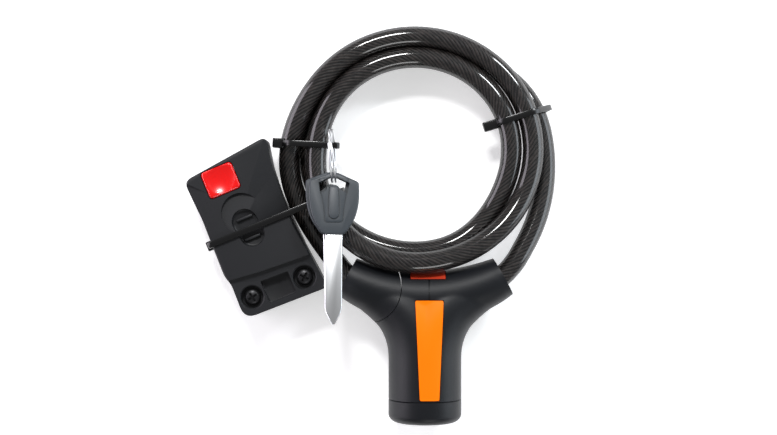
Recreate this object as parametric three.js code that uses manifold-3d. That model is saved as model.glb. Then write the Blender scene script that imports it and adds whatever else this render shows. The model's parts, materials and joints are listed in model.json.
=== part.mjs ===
// Key-operated cable lock with its frame bracket, cable ties, split ring and two keys.
// Millimetres, +Z up. The lock lies on its back on a flat surface at z = 0.
import * as THREE from 'three';
import { mergeVertices } from 'three/addons/utils/BufferGeometryUtils.js';
import Module from 'manifold-3d';

const wasm = await Module();
wasm.setup();

// ---------------------------------------------------------------- driving sizes
const GAP = 0.3; // clearance between pieces that touch

const BARREL = { x: 27.8, radius: 17.35, bottomY: -75.6, seamY: -64.3, edgeRound: 5 };
const ARM = { angle: 29, length: 42.5, endRadius: 9.75, rootRadius: 12.6, bendRadius: 31, crotchRadius: 13 };
const LOCK_Z = BARREL.radius; // height of the barrel and arm axes
const CORNER_Y = -26.9; // where both arm axes cross the barrel axis
const SEAM = { centre: 9.1, radius: 17.9, flank: 14.6 }; // round face between grip and shell, along the arm
const MOUTH = { radius: 8.4, throat: 6.3, depth: 9 }; // cable entry of each arm

const PIN = { radius: 4.5, start: 19.3, tip: 42, grooveAt: 34.5, grooveWidth: 4, grooveRadius: 3.2 };
const FERRULE = { radius: 5.5, length: 10 };
const FIXED_FERRULE_LENGTH = 17;
const CROSS_PIN = { radius: 1.5, length: 15, at: 16 };

const CYLINDER = { radius: 13, bore: 8.7, topY: -38, tailHole: 3.4, wall: 2.4 };
const ROTOR = { radius: 8.6, bore: 7, wall: 1.8, tailRadius: 3 };
const KEYWAY = { width: 9.2, height: 2.8 };
const DISC = { count: 6, radius: 6.7, thickness: 2.2, pitch: 3.2 };
const LATCH = { width: 3.2, depth: 6.4, thickness: 6, stroke: 2.2 };
const LATCH_SPRING = { radius: 1.5, height: 2.2, turns: 3, wire: 0.5 };

const STRIPE = {
  offset: 1.8, topY: -17.2, bottomY: -63.6, topWidth: 13.2, bottomWidth: 9.1, proud: 0.4, depth: 1.2,
};
const CROTCH_INSERT = { offset: 1.3, width: 16.4, lowY: -8.4, highY: -3.2, floorZ: 21.2 };

const CABLE_RADIUS = 5;
const COIL = { x: 23.1, y: 54.2, radius: 51, stretchX: 1.02, stretchY: 0.972, lowZ: 11.6, rise: 11.2 };
const SLOT_A = [5.15, 4.4]; // outer upper turn: distance from the mean circle, height
const SLOT_B = [-5.15, 4.4]; // inner upper turn
const SLOT_M = [0, -4.6]; // lower turn, nested below the two

const STRAP = { width: 3.2, thickness: 1.2, clearance: 0.45 };

const BRACKET = { x: -53.2, y: 16.3, lean: 22.5, frontZ: 26, footZ: 23.6, splitZ: 9, wall: 2.2 };
const SCREW = {
  radius: 2, headRadius: 3.9, headHeight: 2.6, seatZ: 19.4, wellRadius: 5.4, pillarRadius: 6.8,
  at: [[-13, -29.5], [13.4, -30.1]],
};
const NUT = { across: 7, thickness: 3.2, z: 2 };
const BUTTON = { x: -5.4, y: 27, width: 15.6, height: 13.2, top: 26.6, bottom: 17, travel: 3 };
const SCOOP = { x: -2.3, y: 9.1, sphere: 38.2, depth: 1.2 }; // thumb hollow under the button
const SLOT = { x: -1.9, y: 1.5, radius: 6, half: 3.4, turn: 0.16, depth: 3 }; // ribbed dish below it
const RIB = { at: [6.4, -3.5], left: -5.8, right: 2, width: 1.2, below: 1.6 };
const RECESS_DEPTH = 2.4; // square pocket between the screws
const FACET = { x: 12.8, y: 28.2, slope: 0.16, turn: 0.64 }; // sloping face at the far corner
const HOOK = { left: -9, right: 6, low: 10.4, high: 17.2, thickness: 3, tooth: 7 };
const SADDLE_RADIUS = 16;
const PAD = { low: 5, high: 28, thickness: 1.6 };

const KEY_REST = 18.4 + CABLE_RADIUS; // top of the turn that carries the keys
const RING = { x: -15.8, y: 50.6, z: KEY_REST + 5.4, radius: 12.2, wire: 1.8, width: 2.8, turn: 4 };
const KEY = { thickness: 3.6, bladeWidth: 8.5, bladeThickness: 2.2, bladeLength: 41.5, tilt: 9 };
const KEY_FRONT = { x: -14.9, y: 41.4, z: KEY_REST + 7.5, yaw: 0 };
const KEY_BACK = { x: -16.8, y: 41.8, z: KEY_REST + 3.5, yaw: 1.6 };

// routes of the two cable leads, from the fitting to the coil
const PLUG_LEAD = [
  [-2.2, -10.25, 17.35], [-5.6, -8.3, 17.3], [-9.2, -5.8, 17.2], [-13.6, -0.6, 16.9], [-18.1, 5.3, 16.2],
  [-22.9, 11.6, 14.1], [-28, 18.4, 11.5],
];
const FIXED_LEAD = [
  [57.8, -10.25, 17.35], [61.3, -8.25, 17.3], [65, -5.8, 17.1], [70.3, 0, 16.6], [75.1, 6.6, 15.6],
  [79.4, 14.4, 14.1], [82.8, 22.6, 12.2], [85.1, 31.2, 10.2], [86.4, 40, 8.5], [86.6, 49, 7.3], [86.2, 57, 6.9],
];

// the origin is on the surface, under the middle of the object without its cable
const ORIGIN = { x: 2.4, y: 0.5 };

// ---------------------------------------------------------------- solids and booleans
const group = new THREE.Group();
group.position.set(-ORIGIN.x, -ORIGIN.y, 0);

function solid(geometry) {
  const g = geometry.clone();
  g.deleteAttribute('normal');
  g.deleteAttribute('uv');
  const merged = mergeVertices(g, 1e-4);
  return new wasm.Manifold(new wasm.Mesh({
    numProp: 3,
    vertProperties: new Float32Array(merged.attributes.position.array),
    triVerts: new Uint32Array(merged.index.array),
  }));
}

function geometryOf(manifold) {
  const mesh = manifold.getMesh();
  const g = new THREE.BufferGeometry();
  g.setAttribute('position', new THREE.BufferAttribute(new Float32Array(mesh.vertProperties), 3));
  g.setIndex(new THREE.BufferAttribute(new Uint32Array(mesh.triVerts), 1));
  return g;
}

const materials = {
  shell: new THREE.MeshStandardMaterial({ color: 0x2b2c30, roughness: 0.42, metalness: 0 }),
  bracket: new THREE.MeshStandardMaterial({ color: 0x333336, roughness: 0.62, metalness: 0 }),
  orange: new THREE.MeshStandardMaterial({ color: 0xff9408, roughness: 0.5, metalness: 0 }),
  redOrange: new THREE.MeshStandardMaterial({ color: 0xc23c14, roughness: 0.45, metalness: 0 }),
  red: new THREE.MeshStandardMaterial({ color: 0xf01414, roughness: 0.15, metalness: 0 }),
  cable: new THREE.MeshStandardMaterial({ color: 0x28282b, roughness: 0.15, metalness: 0 }),
  tie: new THREE.MeshStandardMaterial({ color: 0x17171a, roughness: 0.3, metalness: 0 }),
  keyBow: new THREE.MeshStandardMaterial({ color: 0x5a5f64, roughness: 0.5, metalness: 0 }),
  steel: new THREE.MeshStandardMaterial({ color: 0xd0d3d6, roughness: 0.25, metalness: 1 }),
  zinc: new THREE.MeshStandardMaterial({ color: 0x9a9da1, roughness: 0.45, metalness: 1 }),
  brass: new THREE.MeshStandardMaterial({ color: 0xc8a452, roughness: 0.35, metalness: 1 }),
  blackSteel: new THREE.MeshStandardMaterial({ color: 0x1b1b1d, roughness: 0.35, metalness: 1 }),
  rubber: new THREE.MeshStandardMaterial({ color: 0x161616, roughness: 0.9, metalness: 0 }),
};

function node(name, shape, material, parent = group) {
  const geometry = shape.getMesh ? geometryOf(shape) : shape;
  const mesh = new THREE.Mesh(geometry, material);
  mesh.name = name;
  parent.add(mesh);
  return mesh;
}

function box(low, high) {
  const size = [0, 1, 2].map((i) => high[i] - low[i]);
  const g = new THREE.BoxGeometry(...size);
  g.translate(low[0] + size[0] / 2, low[1] + size[1] / 2, low[2] + size[2] / 2);
  return g;
}

// a round bar from one point to another
function bar(from, to, radiusFrom, radiusTo = radiusFrom, sides = 28) {
  const a = new THREE.Vector3(...from);
  const b = new THREE.Vector3(...to);
  const g = new THREE.CylinderGeometry(radiusTo, radiusFrom, a.distanceTo(b), sides);
  const upright = new THREE.Vector3(0, 1, 0);
  const turn = new THREE.Quaternion().setFromUnitVectors(upright, b.clone().sub(a).normalize());
  g.applyQuaternion(turn);
  g.translate((a.x + b.x) / 2, (a.y + b.y) / 2, (a.z + b.z) / 2);
  return g;
}

// a flat outline pushed up from one height to another
function plate(shape, low, high, bevel = 0, segments = 2) {
  const g = new THREE.ExtrudeGeometry(shape, {
    depth: high - low - 2 * bevel, bevelEnabled: bevel > 0, bevelSize: bevel, bevelThickness: bevel,
    bevelOffset: -bevel, bevelSegments: segments, curveSegments: 8,
  });
  g.translate(0, 0, low + bevel);
  return g;
}

// a straight-sided outline with its corners rounded
function roundedOutline(points, radius) {
  const shape = new THREE.Shape();
  points.forEach((corner, i) => {
    const at = new THREE.Vector2(...corner);
    const before = new THREE.Vector2(...points.at(i - 1));
    const after = new THREE.Vector2(...points[(i + 1) % points.length]);
    const r = Array.isArray(radius) ? radius[i] : radius;
    const from = at.clone().add(before.sub(at).setLength(r));
    const to = at.clone().add(after.sub(at).setLength(r));
    if (i === 0) shape.moveTo(from.x, from.y);
    else shape.lineTo(from.x, from.y);
    shape.quadraticCurveTo(at.x, at.y, to.x, to.y);
  });
  shape.closePath();
  return shape;
}

function roundedBox(width, height, radius) {
  const [w, h] = [width / 2, height / 2];
  return roundedOutline([[-w, -h], [w, -h], [w, h], [-w, h]], radius);
}

// a tube along a free route
function tube(points, radius, sides, steps) {
  const curve = new THREE.CatmullRomCurve3(points.map((p) => new THREE.Vector3(...p)));
  const section = new THREE.Shape();
  section.absarc(0, 0, radius, 0, 2 * Math.PI);
  return new THREE.ExtrudeGeometry(section, { extrudePath: curve, steps, curveSegments: sides / 2 });
}

function lathe(profile, segments = 40) {
  return new THREE.LatheGeometry(profile.map((p) => new THREE.Vector2(...p)), segments);
}

// a closed limb of round section along a flat path at the lock's height
function limb(path, radiusAt, steps, sides = 24) {
  const points = path.getSpacedPoints(steps);
  const g = new THREE.CylinderGeometry(1, 1, 1, sides, steps);
  const position = g.attributes.position;
  for (let i = 0; i < position.count; i += 1) {
    const row = Math.round((0.5 - position.getY(i)) * steps);
    const before = points[Math.max(row - 1, 0)];
    const after = points[Math.min(row + 1, steps)];
    const along = after.clone().sub(before).normalize();
    const radius = radiusAt(row / steps);
    const across = position.getX(i) * radius;
    position.setXYZ(
      i,
      points[row].x - along.y * across,
      points[row].y + along.x * across,
      LOCK_Z + position.getZ(i) * radius,
    );
  }
  return g;
}

const ease = (t) => t * t * (3 - 2 * t);
const mix = (a, b, t) => a + (b - a) * t;

// ---------------------------------------------------------------- lock body: outer form
const angle = THREE.MathUtils.degToRad(ARM.angle);
const reach = { x: ARM.length * Math.cos(angle), y: ARM.length * Math.sin(angle) };

function armPath(side, startY) {
  const turn = Math.PI / 2 - angle;
  const tangent = ARM.bendRadius * Math.tan(turn / 2);
  const path = new THREE.Path();
  path.moveTo(BARREL.x, startY);
  path.lineTo(BARREL.x, CORNER_Y - tangent);
  const centre = BARREL.x + side * ARM.bendRadius;
  if (side < 0) path.absarc(centre, CORNER_Y - tangent, ARM.bendRadius, 0, turn, false);
  else path.absarc(centre, CORNER_Y - tangent, ARM.bendRadius, Math.PI, Math.PI - turn, true);
  path.lineTo(BARREL.x + side * reach.x, CORNER_Y + reach.y);
  return path;
}

function lockForm(grow) {
  const straight = CORNER_Y - ARM.bendRadius * Math.tan((Math.PI / 2 - angle) / 2) - BARREL.seamY;
  const limbs = [-1, 1].map((side) => {
    const path = armPath(side, BARREL.seamY);
    const length = path.getLength();
    const bendEnd = straight + ARM.bendRadius * (Math.PI / 2 - angle);
    return solid(limb(path, (t) => {
      const s = t * length;
      if (s < straight) return BARREL.radius + grow;
      if (s < bendEnd) {
        return grow + mix(BARREL.radius, ARM.rootRadius, ease((s - straight) / (bendEnd - straight)));
      }
      return grow + mix(ARM.rootRadius, ARM.endRadius, (s - bendEnd) / (length - bendEnd));
    }, 14));
  });
  const bridge = new THREE.QuadraticBezierCurve(
    new THREE.Vector2(BARREL.x - reach.x, CORNER_Y + reach.y),
    new THREE.Vector2(BARREL.x, CORNER_Y),
    new THREE.Vector2(BARREL.x + reach.x, CORNER_Y + reach.y),
  );
  const bridgeRadius = (t) => grow + mix(ARM.endRadius, ARM.crotchRadius, Math.sin(Math.PI * t) ** 0.8);
  return limbs[0].add(limbs[1]).add(solid(limb(bridge, bridgeRadius, 12)));
}

// places a piece built in an arm's own frame: x runs from the arm's end into the body
function armFrame(side) {
  const m = new THREE.Matrix4();
  const end = new THREE.Vector3(BARREL.x + side * reach.x, CORNER_Y + reach.y, LOCK_Z);
  const inward = new THREE.Vector3(-side * Math.cos(angle), -Math.sin(angle), 0);
  const up = new THREE.Vector3(0, 0, 1);
  const across = up.clone().cross(inward);
  m.makeBasis(inward, across, up);
  m.setPosition(end);
  return m;
}

const LEFT = armFrame(-1);
const RIGHT = armFrame(1);
const inArm = (geometry, frame) => geometry.applyMatrix4(frame);
const alongArm = (from, to, r1, r2, sides) => bar([from, 0, 0], [to, 0, 0], r1, r2, sides);

// ---------------------------------------------------------------- shell and its grip
function gripRegion(grow) {
  const round = new THREE.CylinderGeometry(SEAM.radius + grow, SEAM.radius + grow, 60, 40);
  round.rotateX(Math.PI / 2);
  round.translate(SEAM.centre, 0, 0);
  const outer = box([-30, -40, -30], [SEAM.flank, 40, 30]);
  return solid(inArm(round, LEFT)).add(solid(inArm(outer, LEFT)));
}

function stripePrism(grow) {
  const x = BARREL.x + STRIPE.offset;
  const [top, bottom] = [STRIPE.topWidth / 2 + grow, STRIPE.bottomWidth / 2 + grow];
  const outline = roundedOutline([
    [x - bottom, STRIPE.bottomY - grow], [x + bottom, STRIPE.bottomY - grow],
    [x + top, STRIPE.topY + grow], [x - top, STRIPE.topY + grow],
  ], 0.8);
  return solid(plate(outline, LOCK_Z + 5, LOCK_Z + 30));
}

function insertBlock(grow) {
  const x = BARREL.x + CROTCH_INSERT.offset;
  const half = CROTCH_INSERT.width / 2 + grow;
  return solid(box(
    [x - half, CROTCH_INSERT.lowY - grow, CROTCH_INSERT.floorZ - grow],
    [x + half, CROTCH_INSERT.highY + grow, LOCK_Z + 30],
  ));
}

const form = lockForm(0);
const proudForm = lockForm(STRIPE.proud);
const barrelBore = bar([BARREL.x, BARREL.seamY - 1, LOCK_Z], [BARREL.x, CYLINDER.topY + GAP, LOCK_Z],
  CYLINDER.radius + GAP, CYLINDER.radius + GAP, 40);
const CAM_ROOM = { radius: 10.5, height: 3.6 };
const camRoom = bar([BARREL.x, CYLINDER.topY - 1, LOCK_Z], [BARREL.x, CYLINDER.topY + CAM_ROOM.height, LOCK_Z],
  CAM_ROOM.radius, CAM_ROOM.radius, 32);
const latchTop = -PIN.grooveRadius - GAP - LATCH.stroke; // drawn back, clear of the pin
const latchFloor = latchTop - LATCH.depth;
const latchRoom = box([PIN.grooveAt - LATCH.width / 2 - GAP, latchFloor - LATCH_SPRING.height - 4 * GAP,
  -LATCH.thickness / 2 - GAP], [PIN.grooveAt + LATCH.width / 2 + GAP, 0, LATCH.thickness / 2 + GAP]);

const shellCuts = [
  barrelBore,
  camRoom,
  inArm(latchRoom, LEFT),
  inArm(alongArm(PIN.start, PIN.tip + 1, PIN.radius + GAP + 0.05), LEFT),
  inArm(alongArm(-1.5, MOUTH.depth, MOUTH.radius, MOUTH.throat), RIGHT),
  inArm(alongArm(MOUTH.depth - 0.5, MOUTH.depth + FIXED_FERRULE_LENGTH + GAP, FERRULE.radius + GAP), RIGHT),
  inArm(bar([CROSS_PIN.at, 0, -CROSS_PIN.length / 2 - GAP], [CROSS_PIN.at, 0, CROSS_PIN.length / 2 + GAP],
    CROSS_PIN.radius + GAP, CROSS_PIN.radius + GAP, 16), RIGHT),
];
let shell = form.subtract(gripRegion(GAP));
for (const cut of shellCuts) shell = shell.subtract(solid(cut));
shell = shell.subtract(stripePrism(GAP).subtract(lockForm(-STRIPE.depth - GAP)));
shell = shell.subtract(insertBlock(GAP));
node('lock_shell', shell, materials.shell);

node('stripe_insert', proudForm.intersect(stripePrism(0)).subtract(lockForm(-STRIPE.depth)), materials.orange);
node('crotch_insert', proudForm.intersect(insertBlock(0)), materials.redOrange);

let grip = form.intersect(gripRegion(0));
for (const cut of [
  alongArm(-1.5, MOUTH.depth, MOUTH.radius, MOUTH.throat),
  alongArm(MOUTH.depth - 0.5, PIN.start + 2 + GAP, FERRULE.radius + GAP),
  alongArm(PIN.start + 1, PIN.tip, PIN.radius + GAP),
]) grip = grip.subtract(solid(inArm(cut, LEFT)));
node('plug_grip', grip, materials.shell);

// ---------------------------------------------------------------- plug pin and cable ends
function grooved(length, radius, grooves, depth) {
  let shape = solid(alongArm(0, length, radius, radius, 20));
  for (const at of grooves) {
    const ring = solid(alongArm(at - 0.8, at + 0.8, radius + 1, radius + 1, 20))
      .subtract(solid(alongArm(at - 1, at + 1, radius - depth, radius - depth, 20)));
    shape = shape.subtract(ring);
  }
  return geometryOf(shape);
}

const ferrule = grooved(FERRULE.length, FERRULE.radius, [3, 7], 0.4);
ferrule.translate(MOUTH.depth, 0, 0);
node('plug_ferrule', inArm(ferrule, LEFT), materials.zinc);

const pinProfile = [
  [0, PIN.start], [FERRULE.radius, PIN.start], [FERRULE.radius, PIN.start + 2], [PIN.radius, PIN.start + 2],
  [PIN.radius, PIN.grooveAt - PIN.grooveWidth / 2], [PIN.grooveRadius, PIN.grooveAt - PIN.grooveWidth / 2],
  [PIN.grooveRadius, PIN.grooveAt + PIN.grooveWidth / 2], [PIN.radius, PIN.grooveAt + PIN.grooveWidth / 2],
  [PIN.radius, PIN.tip - 1.6], [PIN.radius - 1.8, PIN.tip], [0, PIN.tip],
];
const pin = lathe(pinProfile, 24);
pin.rotateZ(-Math.PI / 2);
node('plug_pin', inArm(pin, LEFT), materials.steel);

const fixedGrooves = [3, 12];
const fixed = geometryOf(solid(grooved(FIXED_FERRULE_LENGTH, FERRULE.radius, fixedGrooves, 0.4)).subtract(
  solid(bar([CROSS_PIN.at - MOUTH.depth, 0, -9], [CROSS_PIN.at - MOUTH.depth, 0, 9],
    CROSS_PIN.radius + GAP, CROSS_PIN.radius + GAP, 16)),
));
fixed.translate(MOUTH.depth, 0, 0);
node('fixed_ferrule', inArm(fixed, RIGHT), materials.zinc);
const crossPin = bar([CROSS_PIN.at, 0, -CROSS_PIN.length / 2], [CROSS_PIN.at, 0, CROSS_PIN.length / 2],
  CROSS_PIN.radius, CROSS_PIN.radius, 16);
node('ferrule_cross_pin', inArm(crossPin, RIGHT), materials.steel);

// ---------------------------------------------------------------- barrel: cap, cylinder, rotor, cam, latch
// lathe profiles are [radius, height] with height running up the barrel from its bottom face
function inBarrel(geometry) {
  geometry.translate(BARREL.x, BARREL.bottomY, LOCK_Z);
  return geometry;
}

const capHeight = BARREL.seamY - BARREL.bottomY - GAP;
const capProfile = [[0, 0]];
for (let i = 0; i <= 6; i += 1) {
  const a = (i / 6) * Math.PI / 2;
  capProfile.push([
    BARREL.radius - BARREL.edgeRound + BARREL.edgeRound * Math.sin(a),
    BARREL.edgeRound * (1 - Math.cos(a)) * 0.8,
  ]);
}
capProfile.push([BARREL.radius, capHeight], [0, capHeight]);
const capHole = bar([0, 2.2, 0], [0, capHeight + 1, 0], ROTOR.radius + 2.4, ROTOR.radius + 2.4, 32);
const capEye = bar([0, -1, 0], [0, 3, 0], ROTOR.radius - 1.6, ROTOR.radius - 1.6, 32);
const cap = solid(lathe(capProfile, 36)).subtract(solid(capHole)).subtract(solid(capEye));
node('end_cap', inBarrel(geometryOf(cap)), materials.shell);

const faceH = 2.6; // height of the rotor's outer face above the barrel's bottom
const cylLow = capHeight + 2 * GAP;
const cylHigh = CYLINDER.topY - BARREL.bottomY;
const cylinder = lathe([
  [CYLINDER.bore, cylLow], [CYLINDER.radius, cylLow], [CYLINDER.radius, cylHigh], [CYLINDER.tailHole, cylHigh],
  [CYLINDER.tailHole, cylHigh - CYLINDER.wall], [CYLINDER.bore, cylHigh - CYLINDER.wall], [CYLINDER.bore, cylLow],
], 36);
node('cylinder_housing', inBarrel(cylinder), materials.zinc);

const rotorTop = cylHigh - CYLINDER.wall - GAP;
const rotorBody = lathe([
  [0, faceH], [ROTOR.radius, faceH], [ROTOR.radius, rotorTop], [ROTOR.tailRadius, rotorTop],
  [ROTOR.tailRadius, cylHigh + 1.2], [0, cylHigh + 1.2],
], 36);
const rotorBore = bar([0, faceH + ROTOR.wall, 0], [0, rotorTop - ROTOR.wall, 0], ROTOR.bore, ROTOR.bore, 36);
const keyway = box([-KEYWAY.width / 2, -1, -KEYWAY.height / 2],
  [KEYWAY.width / 2, faceH + ROTOR.wall + 1, KEYWAY.height / 2]);
const rotor = solid(rotorBody).subtract(solid(rotorBore)).subtract(solid(keyway));
node('rotor', inBarrel(geometryOf(rotor)), materials.brass);

for (let i = 0; i < DISC.count; i += 1) {
  const low = faceH + ROTOR.wall + 1 + i * DISC.pitch;
  const disc = solid(bar([0, low, 0], [0, low + DISC.thickness, 0], DISC.radius, DISC.radius, 28))
    .subtract(solid(box([-KEYWAY.width / 2 - 0.2, low - 1, -KEYWAY.height / 2 - 0.2],
      [KEYWAY.width / 2 + 0.2, low + DISC.thickness + 1, KEYWAY.height / 2 + 0.2])));
  node(`tumbler_disc_${i + 1}`, inBarrel(geometryOf(disc)), materials.brass);
}

const CAM = { radius: 5, reach: 9, width: 5, thickness: 2 };
const camLow = cylHigh + GAP;
const camHole = ROTOR.tailRadius + GAP;
const cam = solid(bar([0, camLow, 0], [0, camLow + CAM.thickness, 0], CAM.radius, CAM.radius, 28))
  .add(solid(box([-CAM.reach, camLow, -CAM.width / 2], [0, camLow + CAM.thickness, CAM.width / 2])))
  .subtract(solid(bar([0, camLow - 1, 0], [0, camLow + CAM.thickness + 1, 0], camHole, camHole, 24)));
node('cam', inBarrel(geometryOf(cam)), materials.steel);

const latch = box([PIN.grooveAt - LATCH.width / 2, latchFloor, -LATCH.thickness / 2],
  [PIN.grooveAt + LATCH.width / 2, latchTop, LATCH.thickness / 2]);
node('latch_bolt', inArm(latch, LEFT), materials.steel);

class Helix extends THREE.Curve {
  constructor(radius, height, turns) {
    super();
    this.radius = radius;
    this.height = height;
    this.turns = turns;
  }

  getPoint(t, target = new THREE.Vector3()) {
    const a = 2 * Math.PI * this.turns * t;
    return target.set(this.radius * Math.cos(a), this.radius * Math.sin(a), this.height * t);
  }
}

function spring(radius, height, turns, wire) {
  const section = new THREE.Shape();
  section.absarc(0, 0, wire / 2, 0, 2 * Math.PI);
  const path = new Helix(radius, height, turns);
  return new THREE.ExtrudeGeometry(section, { extrudePath: path, steps: turns * 9, curveSegments: 2 });
}

const latchSpring = spring(LATCH_SPRING.radius, LATCH_SPRING.height, LATCH_SPRING.turns, LATCH_SPRING.wire);
latchSpring.rotateX(Math.PI / 2);
latchSpring.translate(PIN.grooveAt, latchFloor - 2 * GAP, 0);
node('latch_spring', inArm(latchSpring, LEFT), materials.steel);

// ---------------------------------------------------------------- cable coil and leads
// the bundle lies on the surface at the far side and climbs over the lock's crotch at the near side
function coilHeight(y) {
  const down = Math.max(0, (COIL.y - y) / (COIL.radius * COIL.stretchY));
  return COIL.lowZ + COIL.rise * Math.min(down, 1) ** 2;
}

function arcPoints(centre, fromDeg, toDeg, steps, radius = CABLE_RADIUS) {
  return Array.from({ length: steps + 1 }, (_, i) => {
    const a = THREE.MathUtils.degToRad(mix(fromDeg, toDeg, i / steps));
    return [centre[0] + radius * Math.cos(a), centre[1] + radius * Math.sin(a)];
  });
}

const bundleSection = [
  ...arcPoints(SLOT_A, -98, 90, 6),
  ...arcPoints(SLOT_B, 90, 278, 6),
  ...arcPoints(SLOT_M, 142, 398, 7),
];
bundleSection.push(bundleSection[0]);
const coil = lathe(bundleSection.map(([out, up]) => [COIL.radius + out, up]), 48);
coil.rotateX(Math.PI / 2);
const coilPosition = coil.attributes.position;
for (let i = 0; i < coilPosition.count; i += 1) {
  const x = COIL.x + coilPosition.getX(i) * COIL.stretchX;
  const y = COIL.y + coilPosition.getY(i) * COIL.stretchY;
  const round = Math.hypot(coilPosition.getX(i), coilPosition.getY(i));
  const meanY = COIL.y + coilPosition.getY(i) * COIL.stretchY * COIL.radius / round;
  coilPosition.setXYZ(i, x, y, coilPosition.getZ(i) + coilHeight(meanY));
}
node('cable_coil', coil, materials.cable);
node('plug_lead', tube(PLUG_LEAD, CABLE_RADIUS, 10, 14), materials.cable);
node('fixed_lead', tube(FIXED_LEAD, CABLE_RADIUS, 10, 24), materials.cable);

// ---------------------------------------------------------------- cable ties
// the tight loop round a set of circles [x, y, radius], as an outline
function hull(circles, grow) {
  const points = circles.flatMap(([x, y, r]) => arcPoints([x, y], 0, 340, 17, r + grow));
  points.sort((a, b) => a[0] - b[0] || a[1] - b[1]);
  const cross = (o, a, b) => (a[0] - o[0]) * (b[1] - o[1]) - (a[1] - o[1]) * (b[0] - o[0]);
  const half = (list) => {
    const chain = [];
    for (const p of list) {
      while (chain.length > 1 && cross(chain.at(-2), chain.at(-1), p) <= 1e-6) chain.pop();
      chain.push(p);
    }
    chain.pop();
    return chain;
  };
  return [...half(points), ...half([...points].reverse())].map((p) => new THREE.Vector2(...p));
}

// a strap loop standing in the plane z = 0 of its own frame
function strapLoop(circles) {
  const shape = new THREE.Shape(hull(circles, STRAP.clearance + STRAP.thickness));
  shape.holes.push(new THREE.Path(hull(circles, STRAP.clearance)));
  return solid(plate(shape, -STRAP.width / 2, STRAP.width / 2));
}

function tie(name, circles, headLow, headHigh, frame) {
  const head = plate(roundedOutline([
    [headLow[0], headLow[1]], [headHigh[0], headLow[1]], [headHigh[0], headHigh[1]], [headLow[0], headHigh[1]],
  ], 0.8), -STRAP.width / 2 - 0.9, STRAP.width / 2 + 0.9);
  const inside = new THREE.Shape(hull(circles, STRAP.clearance));
  const core = solid(plate(inside, -STRAP.width, STRAP.width));
  const piece = strapLoop(circles).add(solid(head).subtract(core));
  const geometry = geometryOf(piece);
  geometry.applyMatrix4(frame);
  node(name, geometry, materials.tie);
}

// a frame whose x points away from the coil's centre, y up, at a place on the coil
function coilFrame(degrees) {
  const a = THREE.MathUtils.degToRad(degrees);
  const out = new THREE.Vector3(COIL.stretchX * Math.cos(a), COIL.stretchY * Math.sin(a), 0);
  const centre = new THREE.Vector3(COIL.x, COIL.y, 0).addScaledVector(out, COIL.radius);
  const scale = out.length();
  out.normalize();
  const up = new THREE.Vector3(0, 0, 1);
  const m = new THREE.Matrix4().makeBasis(out, up, out.clone().cross(up));
  m.setPosition(centre.x, centre.y, coilHeight(centre.y));
  return { m, scale };
}

function bundleCircles(scale, extra) {
  return [SLOT_A, SLOT_B, SLOT_M].map(([out, up]) => [out * scale, up, CABLE_RADIUS]).concat(extra);
}

const leftTie = coilFrame(177.2);
tie('tie_left', bundleCircles(leftTie.scale, [[-14.2, 8.6, 0.3], [-14.2, 2.5, 0.3]]),
  [10.4, -1.5], [15.9, 7], leftTie.m);
const rightTie = coilFrame(18.3);
const rightBundle = bundleCircles(rightTie.scale, [[10.9, -4.2, CABLE_RADIUS]]);
tie('tie_right', rightBundle, [-17.6, 2.6], [-10.4, 7.4], rightTie.m);

// ---------------------------------------------------------------- frame bracket, in its own leaning frame
const bracket = new THREE.Group();
bracket.position.set(BRACKET.x, BRACKET.y, 0);
bracket.rotation.z = THREE.MathUtils.degToRad(BRACKET.lean);
group.add(bracket);

const housingOutline = roundedOutline([
  [-21.8, 33.2], [-20.6, 13], [-21, -3], [-21.2, -15], [-19.8, -21], [-20.2, -37.8], [21.6, -38.8], [21.2, -31],
  [18.2, -3], [18.4, 9], [19.4, 24], [22.4, 38.2],
], [4, 3, 3, 1.5, 1.5, 6, 2.5, 3, 3, 3, 3, 4]);
const backOutline = roundedOutline([[-20, 30], [-19, -36.8], [20, -36.8], [17, 30]], 4);

const tieY = 0.7; // where the bracket's tie crosses it
const boss = (at, radius, low, high) => bar([...at, low], [...at, high], radius, radius, 24);

let housing = solid(plate(housingOutline, BRACKET.splitZ - 1.2, BRACKET.frontZ, 1.2))
  .subtract(solid(box([-40, -60, -5], [40, 60, BRACKET.splitZ + GAP])));
const footCut = roundedOutline([[-30, -60], [30, -60], [30, -21.2], [17, -21], [-3.8, -19.8], [-30, -17]], 0.5);
housing = housing.subtract(solid(plate(footCut, BRACKET.footZ, BRACKET.frontZ + 5)));
const cavityOutline = roundedOutline([
  [-18.4, 30], [-17.6, -18], [-17.4, -34.5], [18.4, -35.5], [15.4, -3], [16.6, 33],
], 3);
let cavity = solid(plate(cavityOutline, BRACKET.splitZ - 1, BRACKET.footZ - BRACKET.wall - 1));
for (const at of SCREW.at) cavity = cavity.subtract(solid(boss(at, SCREW.pillarRadius, 0, 40)));
housing = housing.subtract(cavity);
const scoop = new THREE.SphereGeometry(SCOOP.sphere, 48, 30);
scoop.rotateX(Math.PI / 2);
scoop.translate(SCOOP.x, SCOOP.y, BRACKET.frontZ - SCOOP.depth + SCOOP.sphere);
housing = housing.subtract(solid(scoop));
const dishOutline = new THREE.Shape();
dishOutline.absarc(0, SLOT.half, SLOT.radius, 0, Math.PI);
dishOutline.absarc(0, -SLOT.half, SLOT.radius, Math.PI, 2 * Math.PI);
dishOutline.closePath();
const dish = plate(dishOutline, 0, 2 * SLOT.depth);
dish.rotateZ(SLOT.turn);
dish.translate(SLOT.x, SLOT.y, BRACKET.frontZ - SLOT.depth);
housing = housing.subtract(solid(dish));
for (const y of RIB.at) {
  housing = housing.add(solid(box([RIB.left, y - RIB.width / 2, BRACKET.frontZ - SLOT.depth - 0.5],
    [RIB.right, y + RIB.width / 2, BRACKET.frontZ - RIB.below])));
}
const recess = roundedOutline([[-6.4, -35.2], [7.2, -35.2], [7.3, -24.4], [-6.6, -24]], 1);
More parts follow.
